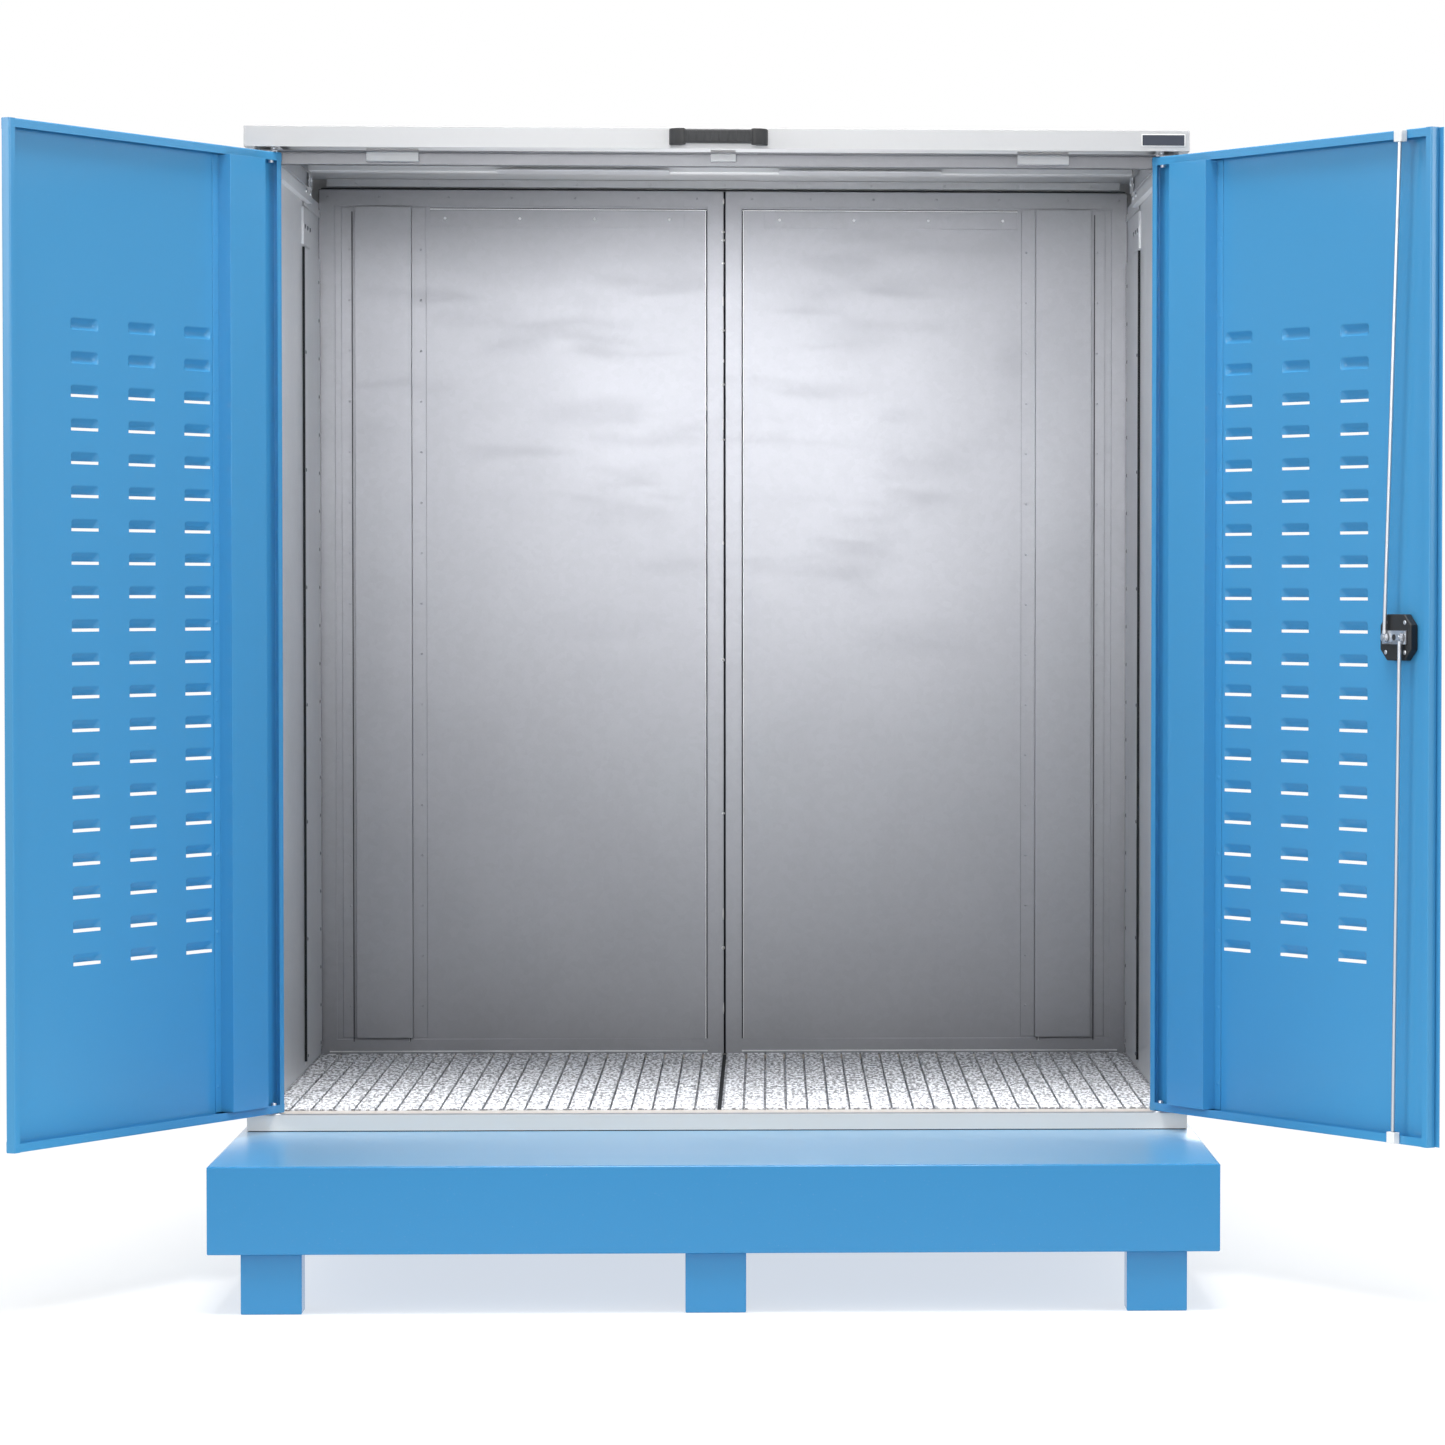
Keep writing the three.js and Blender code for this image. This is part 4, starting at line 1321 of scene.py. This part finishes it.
@dataclass
class DoorLeaf:
    """One louvred door, drawn as (u from its hinge edge, v from the lips' plane, z) and turned open."""

    side: Side
    opening: float
    louvre: Louvre = Louvre()
    width: float = 707.6
    low: float = 246.5
    high: float = 1732.2
    thick: float = 15
    sheet: float = 1
    fold: float = 1
    lip: float = 13
    band: float = 16
    pivot: Spot = (689.1, 9)
    pivot_u: float = 20
    pivot_v: float = 7
    columns: tuple[float, ...] = (178, 324.5, 471)
    row_foot: float = 506
    row_pitch: float = 49
    rows: int = 20
    open_rows: int = 18
    cover: Spot = (689.6, 716.4)
    cover_v: Spot = (15.1, 16.4)
    weld: Point = (165, 13, 300)
    weld_pitch: float = 118
    welds: int = 12

    @property
    def node(self) -> str:
        """The door's node, and its body's name."""
        return "door_" + self.side.word

    def placed(self, solid: Mesh) -> Mesh:
        """Moves a mesh from door terms to the open door in the cabinet.

        Args:
            solid: the mesh.

        Returns:
            The same mesh.
        """
        sign, angle = self.side.value, math.radians(self.opening)
        cos, sin = math.cos(angle), math.sin(angle)
        for vertex in solid.verts:
            x, y = -sign * (vertex.co.x - self.pivot_u), self.pivot_v - vertex.co.y
            place = (x * cos - y * sin + sign * self.pivot[0], x * sin + y * cos + self.pivot[1], vertex.co.z)
            vertex.co = Vector(place)
        return solid

    def border(self) -> Mesh:
        """The folded edges of the pan, with their lips.

        Returns:
            The mesh of all four.
        """
        w, t, s = self.width, self.thick, self.sheet
        outer = filleted([(self.lip, 0), (0, 0), (0, t), (self.band, t)], self.fold + s)
        inner = filleted([(self.lip, s), (s, s), (s, t - s), (self.band, t - s)], self.fold)
        hinge = [*outer, *reversed(inner)]
        free = [(w - a, b) for a, b in hinge]
        members = [prism(outline, Axis.Z, self.low, self.high) for outline in (hinge, free)]
        for edge, sign in ((self.low, 1), (self.high, -1)):
            section = [(0.15 + b * 0.98, edge + sign * a) for a, b in hinge]
            members.append(prism(section, Axis.X, 0.4, w - 0.4))
        return joined(members)

    def row_feet(self) -> list[float]:
        """The bottom of each row's slits."""
        return [self.row_foot + self.row_pitch * i for i in range(self.rows)]

    def skin(self) -> Mesh:
        """The flat outer sheet between the folded edges, with a window behind each hood.

        Returns:
            The sheet's mesh.
        """
        windows = [u + d for u in self.columns for d in (0, self.louvre.width)]
        slots = [z + d for z in self.row_feet() for d in (0, self.louvre.window)]
        us = [self.band, *windows, self.width - self.band]
        zs = [self.low + self.band, *slots, self.high - self.band]
        planes = (self.thick - self.sheet, self.thick)
        return double_skin([[[(u, v, z) for z in zs] for u in us] for v in planes], True)

    def build(self, shop: Workshop) -> None:
        """Makes the door with its hoods, its stiffener's welds and, on the right, its cover strip.

        Args:
            shop: the workshop.
        """
        pan = self.placed(joined([self.border(), self.skin()]))
        shop.add(self.node + "_pan", pan, Finish.BLUE, self.node, [self.node])
        hoods = [
            self.louvre.hood(u, z, row >= self.open_rows, self.thick, self.sheet)
            for u in self.columns for row, z in enumerate(self.row_feet())
        ]
        shop.add(self.node + "_hoods", self.placed(joined(hoods)), Finish.BLUE, self.node, [self.node], 50)
        shop.softened("door_stiffener_" + self.side.word, Finish.BLUE, 1.5, 3)
        u, v, z = self.weld
        spots = [(u, v, z + self.weld_pitch * i) for i in range(self.welds)]
        welds = joined(rivet(spot, MINUS_Y, 3.4, 0.9) for spot in spots)
        shop.add(self.node + "_welds", self.placed(welds), Finish.BLUE, self.node)
        if self.side is Side.RIGHT:
            near, far = zip(self.cover, self.cover_v, (self.low + 0.4, self.high - 0.4))
            strip = block(near, far, 0.4)
            shop.add("astragal", self.placed(strip), Finish.BLUE, self.node, [self.node])


@dataclass
class Lock:
    """The lock inside the right door: housing, cam, two rods and their guides, in the door's own terms.

    A rod is (u of its guide, z of its guide, z of its end).
    """

    door: DoorLeaf
    u: float = 626
    z: float = 991
    rod_v: float = -6
    rod_radius: float = 3
    pin_reach: float = 18.5
    upper: Point = (641, 1722.7, 1721.2)
    lower: Point = (633, 256, 257.5)
    eye: tuple[Spot, ...] = ((3.4, -2), (6.6, -2), (7, -1.6), (7, 1.6), (6.6, 2), (3.4, 2), (3.4, -2))
    screw: tuple[Spot, ...] = ((3.4, -0.4), (3.4, 0.9), (2.8, 1.3), (1.4, 1.3), (1.2, 0.4), (0, 0.4))
    screw_at: Spot = (23, 22)

    def rod(self, pin_u: float, ends: Point) -> Mesh:
        """One rod with its eye on the cam's pin.

        Args:
            pin_u: the pin's place across the door.
            ends: the rod's guide and end.

        Returns:
            The rod's mesh.
        """
        guide_u, guide_z, end_z = ends
        start = Vector((pin_u, self.rod_v, self.z))
        way = Vector((guide_u, self.rod_v, guide_z)) - start
        length = (way * ((end_z - self.z) / way.z)).length
        r = self.rod_radius
        bar = turned([(r, 5), (r, length - 1.2), (r - 1.2, length)], tuple(start), tuple(way), 16)
        return self.door.placed(joined([bar, turned(self.eye, tuple(start), (0, 1, 0), 24)]))

    def build(self, shop: Workshop) -> None:
        """Makes the lock.

        Args:
            shop: the workshop.
        """
        shop.softened("lock_housing", Finish.BLACK, 1.6, 3)
        shop.softened("lock_cam", Finish.PLATED, 0.6)
        shop.softened("turn_handle", Finish.BLACK, 2.4, 4)
        for rod, reach, ends in (("rod_upper", -1, self.upper), ("rod_lower", 1, self.lower)):
            bar = self.rod(self.u + reach * self.pin_reach, ends)
            shop.add(rod + "_bar", bar, Finish.PLATED, rod, [rod])
        for place in ("upper", "lower"):
            shop.softened("rod_guide_" + place, Finish.NYLON, 1.2, 3)
        across, up = self.screw_at
        spots = [(self.u + a, 0.5, self.z + b) for a in (-across, across) for b in (-up, up)]
        screws = joined(turned(self.screw, spot, MINUS_Y, 14) for spot in spots)
        shop.add("lock_screws", self.door.placed(screws), Finish.PLATED, self.door.node)


# Studio


@dataclass(frozen=True)
class Camera:
    """The camera of the picture, as it was fitted to the frame's corners."""

    focal: float = 5554.7617
    centre: Spot = (1040.1218, 795.413)
    place: Point = (79.5656, -8629.8181, 1058.2402)
    yaw: float = 0.0486
    pitch: float = -0.0368
    roll: float = 0.0018
    pixels: float = 1445
    sensor: float = 36

    def build(self) -> None:
        """Sets up the camera."""
        data = bpy.data.cameras.new("picture_camera")
        camera = bpy.data.objects.new("picture_camera", data)
        bpy.context.scene.collection.objects.link(camera)
        east, north = math.sin(self.yaw) * math.cos(self.pitch), math.cos(self.yaw) * math.cos(self.pitch)
        forward = Vector((east, north, math.sin(self.pitch)))
        level = forward.cross(Vector((0, 0, 1))).normalized()
        upright = level.cross(forward)
        right = level * math.cos(self.roll) + upright * math.sin(self.roll)
        up = upright * math.cos(self.roll) - level * math.sin(self.roll)
        turn = Matrix((right, up, -forward)).transposed().to_4x4()
        x, y, z = self.place
        camera.matrix_world = Matrix.Translation(Vector((x, y - TRAY_MIDDLE, z)) * MM) @ turn
        data.sensor_width = self.sensor
        data.lens = self.focal / self.pixels * self.sensor
        data.shift_x = (self.pixels / 2 - self.centre[0]) / self.pixels
        data.shift_y = (self.centre[1] - self.pixels / 2) / self.pixels
        data.clip_end = 60
        data.dof.use_dof = False
        bpy.context.scene.camera = camera


@dataclass(frozen=True)
class Lamp:
    """A soft square lamp that is aimed at a point, with its spread in degrees."""

    name: str
    place: Point
    target: Point
    size: float
    watts: float
    spread: float = 180

    def build(self) -> None:
        """Hangs the lamp."""
        data = bpy.data.lights.new(self.name, "AREA")
        data.shape = "SQUARE"
        data.size = self.size
        data.energy = self.watts
        data.spread = math.radians(self.spread)
        lamp = bpy.data.objects.new(self.name, data)
        lamp.location = self.place
        way = Vector(self.target) - Vector(self.place)
        lamp.rotation_euler = way.to_track_quat("-Z", "Y").to_euler()
        bpy.context.scene.collection.objects.link(lamp)


@dataclass
class Studio:
    """A white cove: a pale floor, a plain sky, soft lamps and the camera."""

    sky: float = 0.34
    floor_half: float = 3
    floor_sink: float = 0.0005
    fade_from: float = 1.7
    fade_over: float = 1.0
    glow: float = 0.62
    lamps: tuple[Lamp, ...] = (
        Lamp("lamp_left", (-5.8, -2.6, 3.0), (0, 0, 0.9), 3.0, 146),
        Lamp("lamp_right", (5.8, -2.6, 2.8), (0, 0, 0.9), 2.8, 118),
        Lamp("lamp_above", (0, -2.4, 7.5), (0, -0.3, 0.4), 3.2, 480),
        Lamp("lamp_back", (1.6, 6.2, 3.0), (0, 0.8, 0.9), 3.0, 110),
        Lamp("lamp_front", (0, -5.0, 2.2), (0, -0.3, 0.5), 2.4, 34),
        Lamp("lamp_sheen_left", (-0.36, -4.2, 1.9), (-0.25, 1.1, 1.35), 0.7, 0.85, 30),
        Lamp("lamp_sheen_right", (0.22, -4.2, 1.5), (0.22, 1.1, 1.22), 0.6, 0.8, 30),
        Lamp("lamp_roof", (0, 0.15, 0.95), (0, 0.15, 1.8), 0.9, 4.5, 80),
    )

    def world(self) -> None:
        """A plain sky that the camera, mirrors and glass see as white."""
        world = bpy.data.worlds.new("studio_sky")
        bpy.context.scene.world = world
        world.use_nodes = True
        tree = world.node_tree
        tree.nodes.clear()
        path = tree.nodes.new("ShaderNodeLightPath")
        seen = path.outputs["Is Camera Ray"]
        for ray in ("Is Glossy Ray", "Is Transmission Ray"):
            either = tree.nodes.new("ShaderNodeMath")
            either.operation = "MAXIMUM"
            tree.links.new(seen, either.inputs[0])
            tree.links.new(path.outputs[ray], either.inputs[1])
            seen = either.outputs[0]
        mix = tree.nodes.new("ShaderNodeMixShader")
        tree.links.new(seen, mix.inputs[0])
        for socket, strength in ((1, self.sky), (2, 1.0)):
            sky = tree.nodes.new("ShaderNodeBackground")
            sky.inputs["Color"].default_value = (1, 1, 1, 1)
            sky.inputs["Strength"].default_value = strength
            tree.links.new(sky.outputs[0], mix.inputs[socket])
        out = tree.nodes.new("ShaderNodeOutputWorld")
        tree.links.new(mix.outputs[0], out.inputs["Surface"])

    def floor(self) -> None:
        """A wide pale floor that fades into the sky's white."""
        solid = bmesh.new()
        bmesh.ops.create_grid(solid, x_segments=2, y_segments=2, size=self.floor_half)
        mesh = bpy.data.meshes.new("studio_floor")
        solid.to_mesh(mesh)
        solid.free()
        graph = Graph("floor_white")
        away = graph.node("ShaderNodeVectorMath", {"operation": "LENGTH"}, {0: graph.place()}, "Value")
        graph.fade(1 - away.above(self.fade_from, self.fade_over))
        mesh.materials.append(graph.finish(
            Base_Color=(0.42, 0.42, 0.42, 1.0), Roughness=0.9, Specular_IOR_Level=0.1,
            Emission_Color=(1, 1, 1, 1), Emission_Strength=self.glow,
        ))
        floor = bpy.data.objects.new("studio_floor", mesh)
        floor.location = (0, 0, -self.floor_sink)
        bpy.context.scene.collection.objects.link(floor)
        floor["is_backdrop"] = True

    def build(self) -> None:
        """Sets the studio up."""
        self.world()
        self.floor()
        for lamp in self.lamps:
            lamp.build()
        Camera().build()
        bpy.context.scene.view_settings.view_transform = "Standard"


def corners() -> list[list[float]]:
    """The shown object's lowest and highest corner as plain lists."""
    low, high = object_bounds()
    return [list(low), list(high)]


def main() -> None:
    """Dresses the drum store and sets up its studio."""
    logging.basicConfig(level=logging.INFO, format="%(name)s: %(message)s")
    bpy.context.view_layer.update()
    shop = Workshop(frame)
    left, right = DoorLeaf(Side.LEFT, -118), DoorLeaf(Side.RIGHT, 121)
    for assembly in (SumpTray(), BaseFrame(), Gratings(), Cabinet(), Head(), Lid(), left, right, Lock(right)):
        assembly.build(shop)
    bare = sorted(set(frame["nodes"]) - shop.done)
    if bare:
        log.warning("nodes without a finish: %s", ", ".join(bare))
    Studio().build()


if __name__ == "__main__":
    main()
